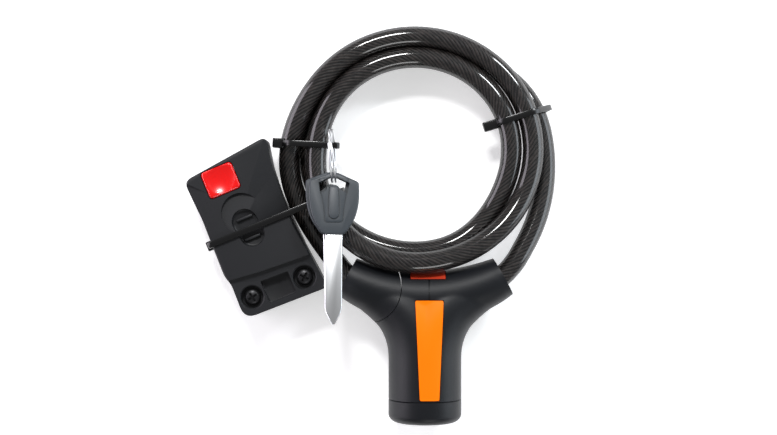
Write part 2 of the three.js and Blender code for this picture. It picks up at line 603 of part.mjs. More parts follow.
housing = housing.subtract(solid(plate(recess, BRACKET.footZ - RECESS_DEPTH, BRACKET.footZ + 5)));
for (const at of SCREW.at) {
  housing = housing.subtract(solid(boss(at, SCREW.wellRadius, SCREW.seatZ, 40)));
  housing = housing.subtract(solid(boss(at, SCREW.radius + GAP, 0, 40)));
}
const window = plate(roundedBox(BUTTON.width + 2 * GAP, BUTTON.height + 2 * GAP, 2.2), 12, 40);
window.translate(BUTTON.x, BUTTON.y, 0);
housing = housing.subtract(solid(window));
const facet = box([0, -30, 0], [30, 30, 20]);
facet.rotateY(FACET.slope);
facet.rotateZ(-FACET.turn);
facet.translate(FACET.x, FACET.y, BRACKET.frontZ + 0.02);
housing = housing.subtract(solid(facet));
node('bracket_housing', housing, materials.bracket, bracket);

const nutRadius = NUT.across / Math.sqrt(3);
let back = solid(plate(backOutline, 0, BRACKET.splitZ));
back = back.subtract(solid(bar([0, -60, -SADDLE_RADIUS + 6], [0, 60, -SADDLE_RADIUS + 6], SADDLE_RADIUS + 0.6,
  SADDLE_RADIUS + 0.6, 48)));
const tieRoom = STRAP.width / 2 + 0.7;
back = back.subtract(solid(box([-30, tieY - tieRoom, -1], [30, tieY + tieRoom, 2.4])));
for (const at of SCREW.at) {
  back = back.subtract(solid(boss(at, SCREW.radius + GAP, -1, 20)));
  back = back.subtract(solid(bar([...at, -1], [...at, NUT.z + NUT.thickness + GAP], nutRadius + GAP,
    nutRadius + GAP, 6)));
}
node('bracket_back', back, materials.bracket, bracket);

const saddleZ = 6 - SADDLE_RADIUS;
const padOuter = SADDLE_RADIUS + GAP;
const padInner = padOuter - PAD.thickness;
const pad = solid(bar([0, PAD.low, saddleZ], [0, PAD.high, saddleZ], padOuter, padOuter, 48))
  .subtract(solid(bar([0, PAD.low - 1, saddleZ], [0, PAD.high + 1, saddleZ], padInner, padInner, 48)))
  .subtract(solid(box([-40, -40, -60], [40, 40, 0.8])));
node('bracket_pad', pad, materials.rubber, bracket);

SCREW.at.forEach((at, i) => {
  const side = ['left', 'right'][i];
  const shank = boss(at, SCREW.radius, NUT.z + NUT.thickness + GAP, SCREW.seatZ + GAP + 0.5);
  const head = boss(at, SCREW.headRadius, SCREW.seatZ + GAP, SCREW.seatZ + GAP + SCREW.headHeight);
  const top = SCREW.seatZ + GAP + SCREW.headHeight;
  let screw = solid(shank).add(solid(head));
  for (const [w, h] of [[4.4, 0.9], [0.9, 4.4]]) {
    const [x, y] = at;
    screw = screw.subtract(solid(box([x - w / 2, y - h / 2, top - 1.5], [x + w / 2, y + h / 2, top + 1])));
  }
  node(`bracket_screw_${side}`, screw, materials.blackSteel, bracket);
  const nut = solid(bar([...at, NUT.z], [...at, NUT.z + NUT.thickness], nutRadius, nutRadius, 6))
    .subtract(solid(boss(at, 1.6, 0, 10)));
  node(`bracket_nut_${side}`, nut, materials.zinc, bracket);
});

const button = solid(plate(roundedBox(BUTTON.width, BUTTON.height, 2), BUTTON.bottom, BUTTON.top, 0.8));
const buttonDish = new THREE.SphereGeometry(26, 36, 24);
buttonDish.translate(0, 0, BUTTON.top - 0.9 + 26);
const buttonNode = geometryOf(button.subtract(solid(buttonDish)));
buttonNode.translate(BUTTON.x, BUTTON.y, 0);
node('release_button', buttonNode, materials.red, bracket);

const buttonSpring = spring(3, BUTTON.bottom - BRACKET.splitZ - 2 * GAP - 1, 5, 0.7);
buttonSpring.translate(BUTTON.x, BUTTON.y, BRACKET.splitZ + GAP + 0.5);
node('button_spring', buttonSpring, materials.steel, bracket);

const hookLow = BRACKET.splitZ + 3;
const hook = solid(box([HOOK.left, HOOK.low, hookLow], [HOOK.right, HOOK.high, hookLow + HOOK.thickness]))
  .add(solid(box([HOOK.left + 5, HOOK.low, hookLow], [HOOK.right - 4, HOOK.low + 2, hookLow + HOOK.tooth])));
node('bracket_latch', hook, materials.steel, bracket);

// the tie round the bracket and the bundle, in the bracket's cross plane
const tieFrame = new THREE.Matrix4().makeBasis(
  new THREE.Vector3(1, 0, 0), new THREE.Vector3(0, 0, 1), new THREE.Vector3(0, -1, 0),
);
tieFrame.setPosition(0, tieY, 0);
tieFrame.premultiply(new THREE.Matrix4().makeRotationZ(THREE.MathUtils.degToRad(BRACKET.lean)));
tieFrame.premultiply(new THREE.Matrix4().makeTranslation(BRACKET.x, BRACKET.y, 0));
tie('tie_bracket', [
  [-20.6, BRACKET.frontZ - 0.8, 0.6], [18, BRACKET.frontZ - 0.8, 0.6], [-20.6, 2.5, 0.6], [18, 2.5, 0.6],
  [30, 18.6, CABLE_RADIUS + 0.6], [39.6, 18.4, CABLE_RADIUS + 0.8], [33.5, 9, CABLE_RADIUS + 0.6],
], [-24.6, 10], [-20.4, 16], tieFrame);

// ---------------------------------------------------------------- split ring and keys
const ring = solid(lathe([
  [RING.radius - RING.wire / 2, -RING.width / 2], [RING.radius + RING.wire / 2, -RING.width / 2],
  [RING.radius + RING.wire / 2, RING.width / 2], [RING.radius - RING.wire / 2, RING.width / 2],
  [RING.radius - RING.wire / 2, -RING.width / 2],
], 48));
const ringGeometry = geometryOf(ring);
ringGeometry.rotateZ(Math.PI / 2);
ringGeometry.rotateZ(THREE.MathUtils.degToRad(RING.turn));
ringGeometry.translate(RING.x, RING.y, RING.z);
node('key_ring', ringGeometry, materials.steel);

// a key lies with its bow's bar at y = 0 and its blade towards -y
function bowShape() {
  const shape = new THREE.Shape();
  shape.moveTo(-12.2, -2.2);
  shape.lineTo(-2, 1);
  shape.lineTo(2, 1);
  shape.lineTo(12.2, -3.4);
  shape.bezierCurveTo(12.9, -12, 12, -19, 7.4, -25);
  shape.quadraticCurveTo(5.4, -28.3, 3.6, -28.3);
  shape.lineTo(-3.6, -28.3);
  shape.quadraticCurveTo(-5.4, -28.3, -7.4, -25);
  shape.bezierCurveTo(-12, -19, -12.9, -12, -12.25, -2.8);
  shape.closePath();
  return shape;
}

// the fan-shaped slot of the bow, with a tongue reaching up into it
function slotShape() {
  const slot = new THREE.Shape();
  slot.moveTo(-6.4, -3);
  slot.lineTo(-2, -1);
  slot.lineTo(2, -1);
  slot.lineTo(6.6, -3.4);
  slot.lineTo(5.6, -8.2);
  slot.quadraticCurveTo(3, -4.9, 0, -4.6);
  slot.quadraticCurveTo(-3, -4.9, -5.6, -8.2);
  slot.closePath();
  return slot;
}

function addKey(name, place) {
  const key = new THREE.Group();
  key.position.set(place.x, place.y, place.z);
  key.rotation.set(THREE.MathUtils.degToRad(-KEY.tilt), 0, THREE.MathUtils.degToRad(place.yaw), 'ZXY');
  group.add(key);
  const half = KEY.thickness / 2;
  const tongueY = -22;
  const bladeHalf = KEY.bladeThickness / 2;
  const room = KEY.bladeWidth / 2 + GAP;
  const socket = box([-room, -40, -bladeHalf - GAP], [room, tongueY + GAP, bladeHalf + GAP]);
  const bow = solid(plate(bowShape(), -half, half, 0.5))
    .subtract(solid(plate(slotShape(), -half - 1, half + 1)));
  node(`${name}_bow`, bow.subtract(solid(socket)), materials.keyBow, key);
  const w = KEY.bladeWidth / 2;
  const tip = -28.6 - KEY.bladeLength;
  const blade = new THREE.Shape();
  blade.moveTo(-w, tongueY);
  blade.lineTo(-w, tip + 6);
  blade.lineTo(-w * 0.15, tip);
  blade.lineTo(w * 0.15, tip);
  blade.lineTo(w, tip + 6);
  blade.lineTo(w, tongueY);
  blade.closePath();
  node(`${name}_blade`, plate(blade, -bladeHalf, bladeHalf, 0.5, 1), materials.steel, key);
}

addKey('key_front', KEY_FRONT);
addKey('key_back', KEY_BACK);

export default group;
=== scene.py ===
import json
import math

import bpy
from mathutils import Matrix, Vector, geometry


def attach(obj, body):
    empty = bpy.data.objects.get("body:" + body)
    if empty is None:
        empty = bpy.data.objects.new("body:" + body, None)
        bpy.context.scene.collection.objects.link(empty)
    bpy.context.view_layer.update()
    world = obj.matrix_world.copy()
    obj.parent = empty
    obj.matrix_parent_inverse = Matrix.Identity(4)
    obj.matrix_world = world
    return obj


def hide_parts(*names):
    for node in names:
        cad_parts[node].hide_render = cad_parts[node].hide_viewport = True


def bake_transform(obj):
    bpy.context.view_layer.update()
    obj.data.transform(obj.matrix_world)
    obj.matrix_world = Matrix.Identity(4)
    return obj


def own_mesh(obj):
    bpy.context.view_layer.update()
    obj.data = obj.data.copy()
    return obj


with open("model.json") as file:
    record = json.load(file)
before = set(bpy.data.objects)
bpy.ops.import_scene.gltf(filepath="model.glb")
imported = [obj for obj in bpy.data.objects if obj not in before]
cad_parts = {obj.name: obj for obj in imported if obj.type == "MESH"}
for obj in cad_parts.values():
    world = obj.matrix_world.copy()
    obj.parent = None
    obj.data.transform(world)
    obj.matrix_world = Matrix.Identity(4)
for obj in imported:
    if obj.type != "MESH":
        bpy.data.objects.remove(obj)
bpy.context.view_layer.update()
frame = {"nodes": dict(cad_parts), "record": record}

bl_info = {
    "name": "Key cable lock",
    "version": (1, 0, 0),
    "blender": (4, 5, 0),
    "location": "View3D > Sidebar > Cable lock",
    "description": "A coiled key cable lock with its frame bracket, ties, split ring and keys",
    "category": "Object",
}

MM = 0.001
# the layout's own origin, in the row frame
ORIGIN = Vector((2.4, 0.5, 0.0))
# barrel axis, lock height and the corner where the arm axes meet the barrel axis, in millimetres
BARREL_X = 27.8
LOCK_Z = 17.35
CORNER_Y = -26.9
# the joint of the end cap, and its far face
SEAM_Y = -64.3
BOTTOM_Y = -75.6
# play between pieces that fit together
GAP = 0.3
# along an arm from its end: the cable's mouth, and the plug's pin
MOUTH_DEPTH = 9.0
PIN_START = 19.3
PIN_TIP = 42.0
# the bundle's mean line: an oval, low at the far side and high over the lock
COIL_CENTRE = (23.1, 54.2)
COIL_RADIUS = 51.0
COIL_STRETCH = (1.02, 0.972)
COIL_LOW = 11.6
COIL_RISE = 11.2
# places of the turns in the bundle: distance from the mean circle, height
SLOT_A = Vector((5.15, 4.4))
SLOT_B = Vector((-5.15, 4.4))
SLOT_M = Vector((0.0, -4.6))
SLOT_L = Vector((10.6, -4.85))
# where the ties hold the bundle, in degrees from the right
LEFT_TIE_AT = 177.2
RIGHT_TIE_AT = 18.3
# the bracket: its place, the heights of its front, foot and back half, its screws and its button
BRACKET_PLACE = Matrix.Translation((-53.2, 16.3, 0)) @ Matrix.Rotation(math.radians(22.5), 4, "Z")
FRONT_Z = 26.0
FOOT_Z = 23.6
SPLIT_Z = 9.0
SCREW_SEATS = ((-13.0, -29.5), (13.4, -30.1))
SCREW_SEAT_Z = 19.4
BUTTON_AT = (-5.4, 27.0)
BUTTON_SIZE = (15.6, 13.2)
BUTTON_HEIGHTS = (17.0, 26.6)
# the split ring and the keys that hang on it: places, turns and tilt
RING_AT = (-15.8, 50.6, 28.8)
RING_RADIUS = 12.2
RING_TURN = math.radians(4)
KEY_TILT = math.radians(9)
KEYS = (("key_front", (-14.9, 41.4, 30.9), 0.0), ("key_back", (-16.8, 41.8, 26.9), math.radians(1.6)))
KEY_THICKNESS = 3.6

# the cable's two leads, from the fitting to the coil, in millimetres
PLUG_LEAD = (
    (-2.2, -10.25, 17.35), (-5.6, -8.3, 17.3), (-9.2, -5.8, 17.2), (-13.6, -0.6, 16.9),
    (-18.1, 5.3, 16.2), (-22.9, 11.6, 14.1), (-28, 18.4, 11.5),
)
FIXED_LEAD = (
    (57.8, -10.25, 17.35), (61.3, -8.25, 17.3), (65, -5.8, 17.1), (70.3, 0, 16.6), (75.1, 6.6, 15.6),
    (79.4, 14.4, 14.1), (82.8, 22.6, 12.2), (85.1, 31.2, 10.2), (86.4, 40, 8.5), (86.6, 49, 7.3),
    (86.2, 57, 6.9),
)
# how many sides go round the cable's tube
CABLE_SIDES = 28


# ---------------------------------------------------------------- colours and materials
def linear(code):
    """A #rrggbb colour as linear red, green and blue."""
    values = [int(code[i:i + 2], 16) / 255 for i in (1, 3, 5)]
    return tuple(v / 12.92 if v <= 0.04045 else ((v + 0.055) / 1.055) ** 2.4 for v in values)


def add_node(tree, kind, settings=(), links=()):
    """Adds a node, sets its properties or input values, and links its inputs."""
    node = tree.nodes.new(kind)
    for key, value in dict(settings).items():
        if isinstance(key, str) and hasattr(node, key):
            setattr(node, key, value)
        else:
            node.inputs[key].default_value = value
    for key, source in dict(links).items():
        tree.links.new(source, node.inputs[key])
    return node


def finish(name, colour, roughness, metallic=0.0, grain=None, depth=0.0, **sockets):
    """A surface with one colour, a hex code or a chosen linear colour, and, with grain in
    millimetres, a moulded or blasted texture."""
    material = bpy.data.materials.new(name)
    material.use_nodes = True
    tree = material.node_tree
    shader = tree.nodes["Principled BSDF"]
    colour = linear(colour) if isinstance(colour, str) else colour
    shader.inputs["Base Color"].default_value = (*colour, 1.0)
    shader.inputs["Roughness"].default_value = roughness
    shader.inputs["Metallic"].default_value = metallic
    for key, value in sockets.items():
        shader.inputs[key.replace("_", " ")].default_value = value
    if grain:
        place = add_node(tree, "ShaderNodeTexCoord")
        noise = add_node(tree, "ShaderNodeTexNoise", {"Scale": 1 / (grain * MM), "Detail": 2.0},
                         {"Vector": place.outputs["Object"]})
        bump = add_node(tree, "ShaderNodeBump", {"Distance": depth * MM, "Strength": 1.0},
                        {"Height": noise.outputs["Fac"]})
        tree.links.new(bump.outputs["Normal"], shader.inputs["Normal"])
    return material


def cable_finish(colours):
    """Smoked clear vinyl drawn over galvanised steel strands: the strands show as slanting lines
    under a smooth, wet-looking skin."""
    material = bpy.data.materials.new("smoked_vinyl_over_wire_rope")
    material.use_nodes = True
    tree = material.node_tree
    shader = tree.nodes["Principled BSDF"]
    around = add_node(tree, "ShaderNodeUVMap", {"uv_map": "along"})
    split = add_node(tree, "ShaderNodeSeparateXYZ", links={"Vector": around.outputs["UV"]})

    def wave(turns, per_metre, phase=0.0):
        """A sine that winds round the cable: turns per circumference and per metre."""
        across = add_node(tree, "ShaderNodeMath", {"operation": "MULTIPLY", 1: 2 * math.pi * turns},
                          {0: split.outputs["X"]})
        along = add_node(tree, "ShaderNodeMath", {"operation": "MULTIPLY_ADD", 1: 2 * math.pi * per_metre,
                                                  2: phase}, {0: split.outputs["Y"]})
        total = add_node(tree, "ShaderNodeMath", {"operation": "ADD"},
                         {0: across.outputs[0], 1: along.outputs[0]})
        return add_node(tree, "ShaderNodeMath", {"operation": "SINE"}, {0: total.outputs[0]})

    strands = wave(18, -390.0)
    wires = wave(7, -95.0, 1.0)
    both = add_node(tree, "ShaderNodeMath", {"operation": "MULTIPLY_ADD", 1: 0.35},
                    {0: wires.outputs[0], 2: strands.outputs[0]})
    # the wires glint unevenly through the smoked skin
    place = add_node(tree, "ShaderNodeTexCoord")
    uneven = add_node(tree, "ShaderNodeTexNoise", {"Scale": 1 / (2.4 * MM), "Detail": 1.0},
                      {"Vector": place.outputs["Object"]})
    glint = add_node(tree, "ShaderNodeMath", {"operation": "MULTIPLY_ADD", 1: 3.2, 2: -1.6},
                     {0: uneven.outputs["Fac"]})
    shade = add_node(tree, "ShaderNodeMath", {"operation": "ADD"},
                     {0: both.outputs[0], 1: glint.outputs[0]})
    ramp = add_node(tree, "ShaderNodeValToRGB", links={0: add_node(
        tree, "ShaderNodeMath", {"operation": "MULTIPLY_ADD", 1: 0.37, 2: 0.5},
        {0: shade.outputs[0]}).outputs[0]})
    ramp.color_ramp.elements[0].position = 0.28
    ramp.color_ramp.elements[0].color = (*linear(colours[0]), 1)
    ramp.color_ramp.elements[1].position = 0.95
    ramp.color_ramp.elements[1].color = (*linear(colours[1]), 1)
    tree.links.new(ramp.outputs["Color"], shader.inputs["Base Color"])
    bump = add_node(tree, "ShaderNodeBump", {"Strength": 0.5, "Distance": 0.25 * MM},
                    {"Height": both.outputs[0]})
    tree.links.new(bump.outputs["Normal"], shader.inputs["Normal"])
    shader.inputs["Metallic"].default_value = 0.0
    shader.inputs["Roughness"].default_value = 0.5
    shader.inputs["Specular IOR Level"].default_value = 0.16
    # the skin mirrors less where it turns away, as smoked vinyl looks darker at its edges
    edge = add_node(tree, "ShaderNodeLayerWeight", {"Blend": 0.5})
    bent = add_node(tree, "ShaderNodeMath", {"operation": "POWER", 1: 2.0}, {0: edge.outputs["Facing"]})
    skin = add_node(tree, "ShaderNodeMath", {"operation": "MULTIPLY_ADD", 1: -0.9, 2: 1.0},
                    {0: bent.outputs[0]})
    tree.links.new(skin.outputs[0], shader.inputs["Coat Weight"])
    shader.inputs["Coat Roughness"].default_value = 0.09
    shader.inputs["Coat IOR"].default_value = 1.53
    return material


def make_materials(choices):
    """Every finish of the lock, by the record's slot, with the chosen colours."""
    return {
        # moulded ABS with a fine spark-eroded texture: charcoal, broad soft highlights
        "charcoal_plastic": finish("moulded_abs_charcoal", "#0f1115", 0.44, grain=0.35, depth=0.035,
                                   Specular_IOR_Level=0.28),
        # glass-filled nylon, matt and a little lighter
        "bracket_plastic": finish("moulded_nylon_dark_grey", "#16171a", 0.5, grain=0.5, depth=0.03,
                                  Specular_IOR_Level=0.38),
        # painted trim: flat orange
        "orange_plastic": finish("orange_abs_trim", choices.stripe_colour, 0.5, grain=0.4, depth=0.006,
                                 Specular_IOR_Level=0.12),
        "red_orange_plastic": finish("red_orange_abs_trim", "#a42b10", 0.5, Specular_IOR_Level=0.3),
        # translucent polished polycarbonate push button
        "red_plastic": finish("polished_red_polycarbonate", choices.button_colour, 0.24, Coat_Weight=0.35,
                              Subsurface_Weight=0.2, Subsurface_Scale=0.002),
        "tie_nylon": finish("black_nylon_66", "#09090a", 0.24),
        # key bow: blue-grey moulded plastic with a blasted skin
        "key_plastic": finish("key_bow_grey_nylon", choices.bow_colour, 0.42, grain=0.45, depth=0.03),
        # nickel plate on a milled blank: almost white under soft light
        "steel": finish("nickel_plated_steel", "#e6e8ea", 0.3, metallic=1.0),
        "zinc": finish("die_cast_zinc", "#a9abad", 0.42, metallic=1.0),
        "brass": finish("machined_brass", "#d8b25c", 0.3, metallic=1.0),
        # black oxide screws
        "black_steel": finish("black_oxide_steel", "#2a2a2c", 0.36, metallic=0.6),
        "rubber": finish("black_rubber_pad", "#161616", 0.9),
        "smoked_vinyl": cable_finish(("#010101", "#2a2523")),
    }


# every finish by its slot, filled in by main
MATERIALS = {}


# ---------------------------------------------------------------- modelling helpers
def deselect():
    if bpy.context.object and bpy.context.object.mode != "OBJECT":
        bpy.ops.object.mode_set(mode="OBJECT")
    bpy.ops.object.select_all(action="DESELECT")


def activate(piece):
    deselect()
    piece.select_set(True)
    bpy.context.view_layer.objects.active = piece


def named(name):
    piece = bpy.context.object
    piece.name = name
    piece.data.name = name
    return piece


def outline(name, points, height=0.0, fill=True):
    """A flat face, or a closed line, with its corners at these places."""
    deselect()
    bpy.ops.mesh.primitive_circle_add(vertices=len(points), fill_type="NGON" if fill else "NOTHING")
    piece = named(name)
    for vertex, point in zip(piece.data.vertices, points):
        vertex.co = (*point[:2], height) if len(point) == 2 else point
    return piece


def extrude(piece, by):
    """Pushes the whole face along a vector and closes the solid."""
    activate(piece)
    bpy.ops.object.mode_set(mode="EDIT")
    bpy.ops.mesh.select_all(action="SELECT")
    bpy.ops.mesh.extrude_region_move(TRANSFORM_OT_translate={"value": by})
    bpy.ops.mesh.select_all(action="SELECT")
    bpy.ops.mesh.normals_make_consistent(inside=False)
    bpy.ops.object.mode_set(mode="OBJECT")
    return piece


def plate(name, points, low, high):
    return extrude(outline(name, points, low), (0, 0, high - low))


def apply(piece, kind, **settings):
    """Adds a modifier, sets it and applies it."""
    activate(piece)
    modifier = piece.modifiers.new(kind.lower(), kind)
    for key, value in settings.items():
        setattr(modifier, key, value)
    bpy.ops.object.modifier_apply(modifier=modifier.name)
    return piece


def bevel(piece, width, segments=3, angle=35):
    return apply(piece, "BEVEL", width=width, segments=segments, limit_method="ANGLE",
                 angle_limit=math.radians(angle), use_clamp_overlap=True, harden_normals=False)


def combine(piece, tool, operation="DIFFERENCE", keep=False):
    apply(piece, "BOOLEAN", operation=operation, solver="EXACT", object=tool)
    if not keep:
        bpy.data.objects.remove(tool, do_unlink=True)
    return piece


def copy(piece, name):
    """A copy with its own mesh."""
    activate(piece)
    bpy.ops.object.duplicate()
    return named(name)


def spin(name, profile, steps=64):
    """A profile of (radius, height) pairs turned once round the Z axis."""
    piece = outline(name, [(r, 0, h) for r, h in profile], fill=False)
    activate(piece)
    bpy.ops.object.mode_set(mode="EDIT")
    bpy.ops.mesh.select_all(action="SELECT")
    bpy.ops.mesh.spin(steps=steps, angle=2 * math.pi, center=(0, 0, 0), axis=(0, 0, 1))
    bpy.ops.mesh.select_all(action="SELECT")
    bpy.ops.mesh.remove_doubles(threshold=0.002)
    bpy.ops.mesh.dissolve_degenerate(threshold=0.001)
    bpy.ops.mesh.normals_make_consistent(inside=False)
    bpy.ops.object.mode_set(mode="OBJECT")
    return piece


def post(name, at, radius, low, high, sides=48):
    """A round bar standing on a place."""
    deselect()
    bpy.ops.mesh.primitive_cylinder_add(vertices=sides, radius=radius, depth=high - low,
                                        location=(at[0], at[1], (low + high) / 2))
    bpy.ops.object.transform_apply(location=True, rotation=True, scale=True)
    return named(name)


def bar(name, start, end, r1, r2=None, sides=48):
    """A round or tapered bar between two places."""
    start, end = Vector(start), Vector(end)
    deselect()
    bpy.ops.mesh.primitive_cone_add(vertices=sides, radius1=r1, radius2=r1 if r2 is None else r2,
                                    depth=(end - start).length)
    piece = named(name)
    turn = Vector((0, 0, 1)).rotation_difference(end - start).to_matrix().to_4x4()
    return move(piece, Matrix.Translation((start + end) / 2) @ turn)


def block(name, low, high):
    deselect()
    bpy.ops.mesh.primitive_cube_add(size=1)
    piece = named(name)
    low, high = Vector(low), Vector(high)
    return move(piece, Matrix.Translation((low + high) / 2) @ Matrix.Diagonal((*(high - low), 1)))


def ball(name, at, radius, segments=96, rings=64):
    deselect()
    bpy.ops.mesh.primitive_uv_sphere_add(segments=segments, ring_count=rings, radius=radius, location=at)
    bpy.ops.object.transform_apply(location=True, rotation=True, scale=True)
    return named(name)


def move(piece, matrix):
    """Puts a piece at a place and keeps the place in its mesh."""
    piece.matrix_world = matrix @ piece.matrix_world
    activate(piece)
    bpy.ops.object.transform_apply(location=True, rotation=True, scale=True)
    return piece


def smooth(piece, angle=32):
    activate(piece)
    bpy.ops.object.shade_smooth_by_angle(angle=math.radians(angle), keep_sharp_edges=False)
    return piece


def arc(centre, radius, start, end, steps):
    """Points on an arc, angles in degrees."""
    turns = [math.radians(start + (end - start) * i / steps) for i in range(steps + 1)]
    return [(centre[0] + radius * math.cos(a), centre[1] + radius * math.sin(a)) for a in turns]


def rounded(points, radii, steps=5):
    """A straight-sided outline with each corner rounded."""
    radii = radii if isinstance(radii, (list, tuple)) else [radii] * len(points)
    result = []
    for i, (corner, radius) in enumerate(zip(points, radii)):
        at = Vector(corner)
        start = at + (Vector(points[i - 1]) - at).normalized() * radius
        end = at + (Vector(points[(i + 1) % len(points)]) - at).normalized() * radius
        for k in range(steps + 1):
            t = k / steps
            result.append(tuple((1 - t) ** 2 * start + 2 * t * (1 - t) * at + t * t * end))
    return result


def rectangle(width, height, radius):
    w, h = width / 2, height / 2
    return rounded([(-w, -h), (w, -h), (w, h), (-w, h)], radius)


def bevelled_curve(name, points, radii, sides=9):
    """A closed bar of changing round section along a line of points."""
    deselect()
    bpy.ops.curve.primitive_nurbs_path_add()
    piece = named(name)
    curve = piece.data
    curve.splines.clear()
    line = curve.splines.new("POLY")
    line.points.add(len(points) - 1)
    for knot, point, radius in zip(line.points, points, radii):
        knot.co = (*point, 1)
        knot.radius = radius
    curve.bevel_depth = 1.0
    curve.bevel_resolution = sides
    curve.use_fill_caps = True
    activate(piece)
    bpy.ops.object.convert(target="MESH")
    piece = bpy.context.object
    bpy.ops.object.mode_set(mode="EDIT")
    bpy.ops.mesh.select_all(action="SELECT")
    bpy.ops.mesh.remove_doubles(threshold=0.001)
    bpy.ops.mesh.normals_make_consistent(inside=False)
    bpy.ops.object.mode_set(mode="OBJECT")
    return piece


def settle(piece, body, slot, *replaced, place=Matrix.Identity(4), angle=32):
    """Moves a piece made in millimetres into the row frame, shades it, paints it and lets it ride."""
    move(piece, Matrix.Scale(MM, 4) @ Matrix.Translation(-ORIGIN) @ place)
    smooth(piece, angle)
    piece.data.materials.clear()
    piece.data.materials.append(MATERIALS[slot])
    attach(piece, body)
    if replaced:
        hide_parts(*replaced)
    return piece


def ease(t):
    t = max(0.0, min(1.0, t))
    return t * t * (3 - 2 * t)


def blend_value(a, b, t):
    return a + (b - a) * t


# ---------------------------------------------------------------- cable
def coil_height(y):
    """The bundle lies low at the far side and climbs over the lock at the near side."""
    down = max(0.0, (COIL_CENTRE[1] - y) / (COIL_RADIUS * COIL_STRETCH[1]))
    return COIL_LOW + COIL_RISE * min(down, 1.0) ** 2


def swing_round(centre, start, end, t):
    """A slot place that goes from start to end round another turn."""
    a, b = start - centre, end - centre
    turn = (math.atan2(b.y, b.x) - math.atan2(a.y, a.x) + math.pi) % (2 * math.pi) - math.pi
    at = math.atan2(a.y, a.x) + turn * ease(t)
    radius = blend_value(a.length, b.length, t) + 0.25 * math.sin(math.pi * t)
    return centre + radius * Vector((math.cos(at), math.sin(at)))


def slot_at(degrees):
    """Where the cable lies in the bundle after that much turning from the bottom."""
    if degrees < 50:
        return SLOT_L
    if degrees < 120:
        return swing_round(SLOT_M, SLOT_L, SLOT_A, (degrees - 50) / 70)
    if degrees < 365:
        return SLOT_A
    if degrees < 465:
        t = (degrees - 365) / 100
        return SLOT_A.lerp(SLOT_B, ease(t)) + Vector((0, 1.35 * math.sin(math.pi * ease(t)) ** 2))
    if degrees < 630:
        return SLOT_B
    if degrees < 705:
        return swing_round(SLOT_A, SLOT_B, SLOT_M, (degrees - 630) / 75)
    if degrees < 912:
        return SLOT_M
    if degrees < 978:
        t = (degrees - 912) / 66
        return SLOT_M.lerp(SLOT_L, ease(t)) - Vector((0, 1.3 * math.sin(math.pi * ease(t)) ** 2))
    return SLOT_L


def coil_point(degrees):
    turn = math.radians(degrees)
    out, up = slot_at(degrees)
    mean_y = COIL_CENTRE[1] - COIL_RADIUS * COIL_STRETCH[1] * math.cos(turn)
    return Vector((
        COIL_CENTRE[0] - (COIL_RADIUS + out) * COIL_STRETCH[0] * math.sin(turn),
        COIL_CENTRE[1] - (COIL_RADIUS + out) * COIL_STRETCH[1] * math.cos(turn),
        coil_height(mean_y) + up,
    ))


def curve_through(points, step):
    """An even line of points, step apart, on a smooth curve through the given ones."""
    fine = []
    for i in range(len(points) - 1):
        p0, p1 = points[max(i - 1, 0)], points[i]
        p2, p3 = points[i + 1], points[min(i + 2, len(points) - 1)]
        for k in range(12):
            t = k / 12
            fine.append(0.5 * (2 * p1 + (p2 - p0) * t + (2 * p0 - 5 * p1 + 4 * p2 - p3) * t * t
                               + (3 * p1 - p0 - 3 * p2 + p3) * t ** 3))
    fine.append(points[-1])
    total = sum((b - a).length for a, b in zip(fine, fine[1:]))
    count = round(total / step)
    even, walked, target = [fine[0]], 0.0, total / count
    for a, b in zip(fine, fine[1:]):
        length = (b - a).length
        while walked + length >= target * len(even) and len(even) < count:
            even.append(a.lerp(b, (target * len(even) - walked) / length))
        walked += length
    even.append(fine[-1])
    return even


def cable_route():
    plug = [Vector(p) for p in PLUG_LEAD]
    fixed = [Vector(p) for p in FIXED_LEAD]
    turns = [coil_point(d) for d in range(66, 982, 8)]
    points = plug + turns + fixed[::-1]
    for _ in range(3):
        inner = [(a + 2 * b + c) / 4 for a, b, c in zip(points, points[1:], points[2:])]
        points = points[:4] + inner[3:-3] + points[-4:]
    return curve_through(points, 2.0)


def tube_mesh(name, path, radius, sides):
    """A round tube with closed ends and a map: once round across, metres along."""
    vertices, faces, lengths = [], [], [0.0]
    tangent = (path[1] - path[0]).normalized()
    side = tangent.orthogonal().normalized()
    for i, point in enumerate(path):
        after = (path[min(i + 1, len(path) - 1)] - path[max(i - 1, 0)]).normalized()
        side = (tangent.rotation_difference(after) @ side)
        side = (side - after * side.dot(after)).normalized()
        tangent = after
        other = tangent.cross(side)
        if i:
            lengths.append(lengths[-1] + (point - path[i - 1]).length)
        for k in range(sides):
            a = 2 * math.pi * k / sides
            vertices.append(point + radius * (math.cos(a) * side + math.sin(a) * other))
    for i in range(len(path) - 1):
        for k in range(sides):
            n = (k + 1) % sides
            faces.append((i * sides + k, i * sides + n, (i + 1) * sides + n, (i + 1) * sides + k))
    faces.append(tuple(reversed(range(sides))))
    faces.append(tuple((len(path) - 1) * sides + k for k in range(sides)))
    mesh = bpy.data.meshes.new(name)
    mesh.from_pydata([tuple(v) for v in vertices], [], faces)
    layer = mesh.uv_layers.new(name="along")
    for face in mesh.polygons[:-2]:
        k = face.index % sides
        row = face.index // sides
        corners = ((k, row), (k + 1, row), (k + 1, row + 1), (k, row + 1))
        for loop, (across, along) in zip(face.loop_indices, corners):
            layer.data[loop].uv = (across / sides, lengths[along])
    piece = bpy.data.objects.new(name, mesh)
    bpy.context.collection.objects.link(piece)
    return piece, lengths


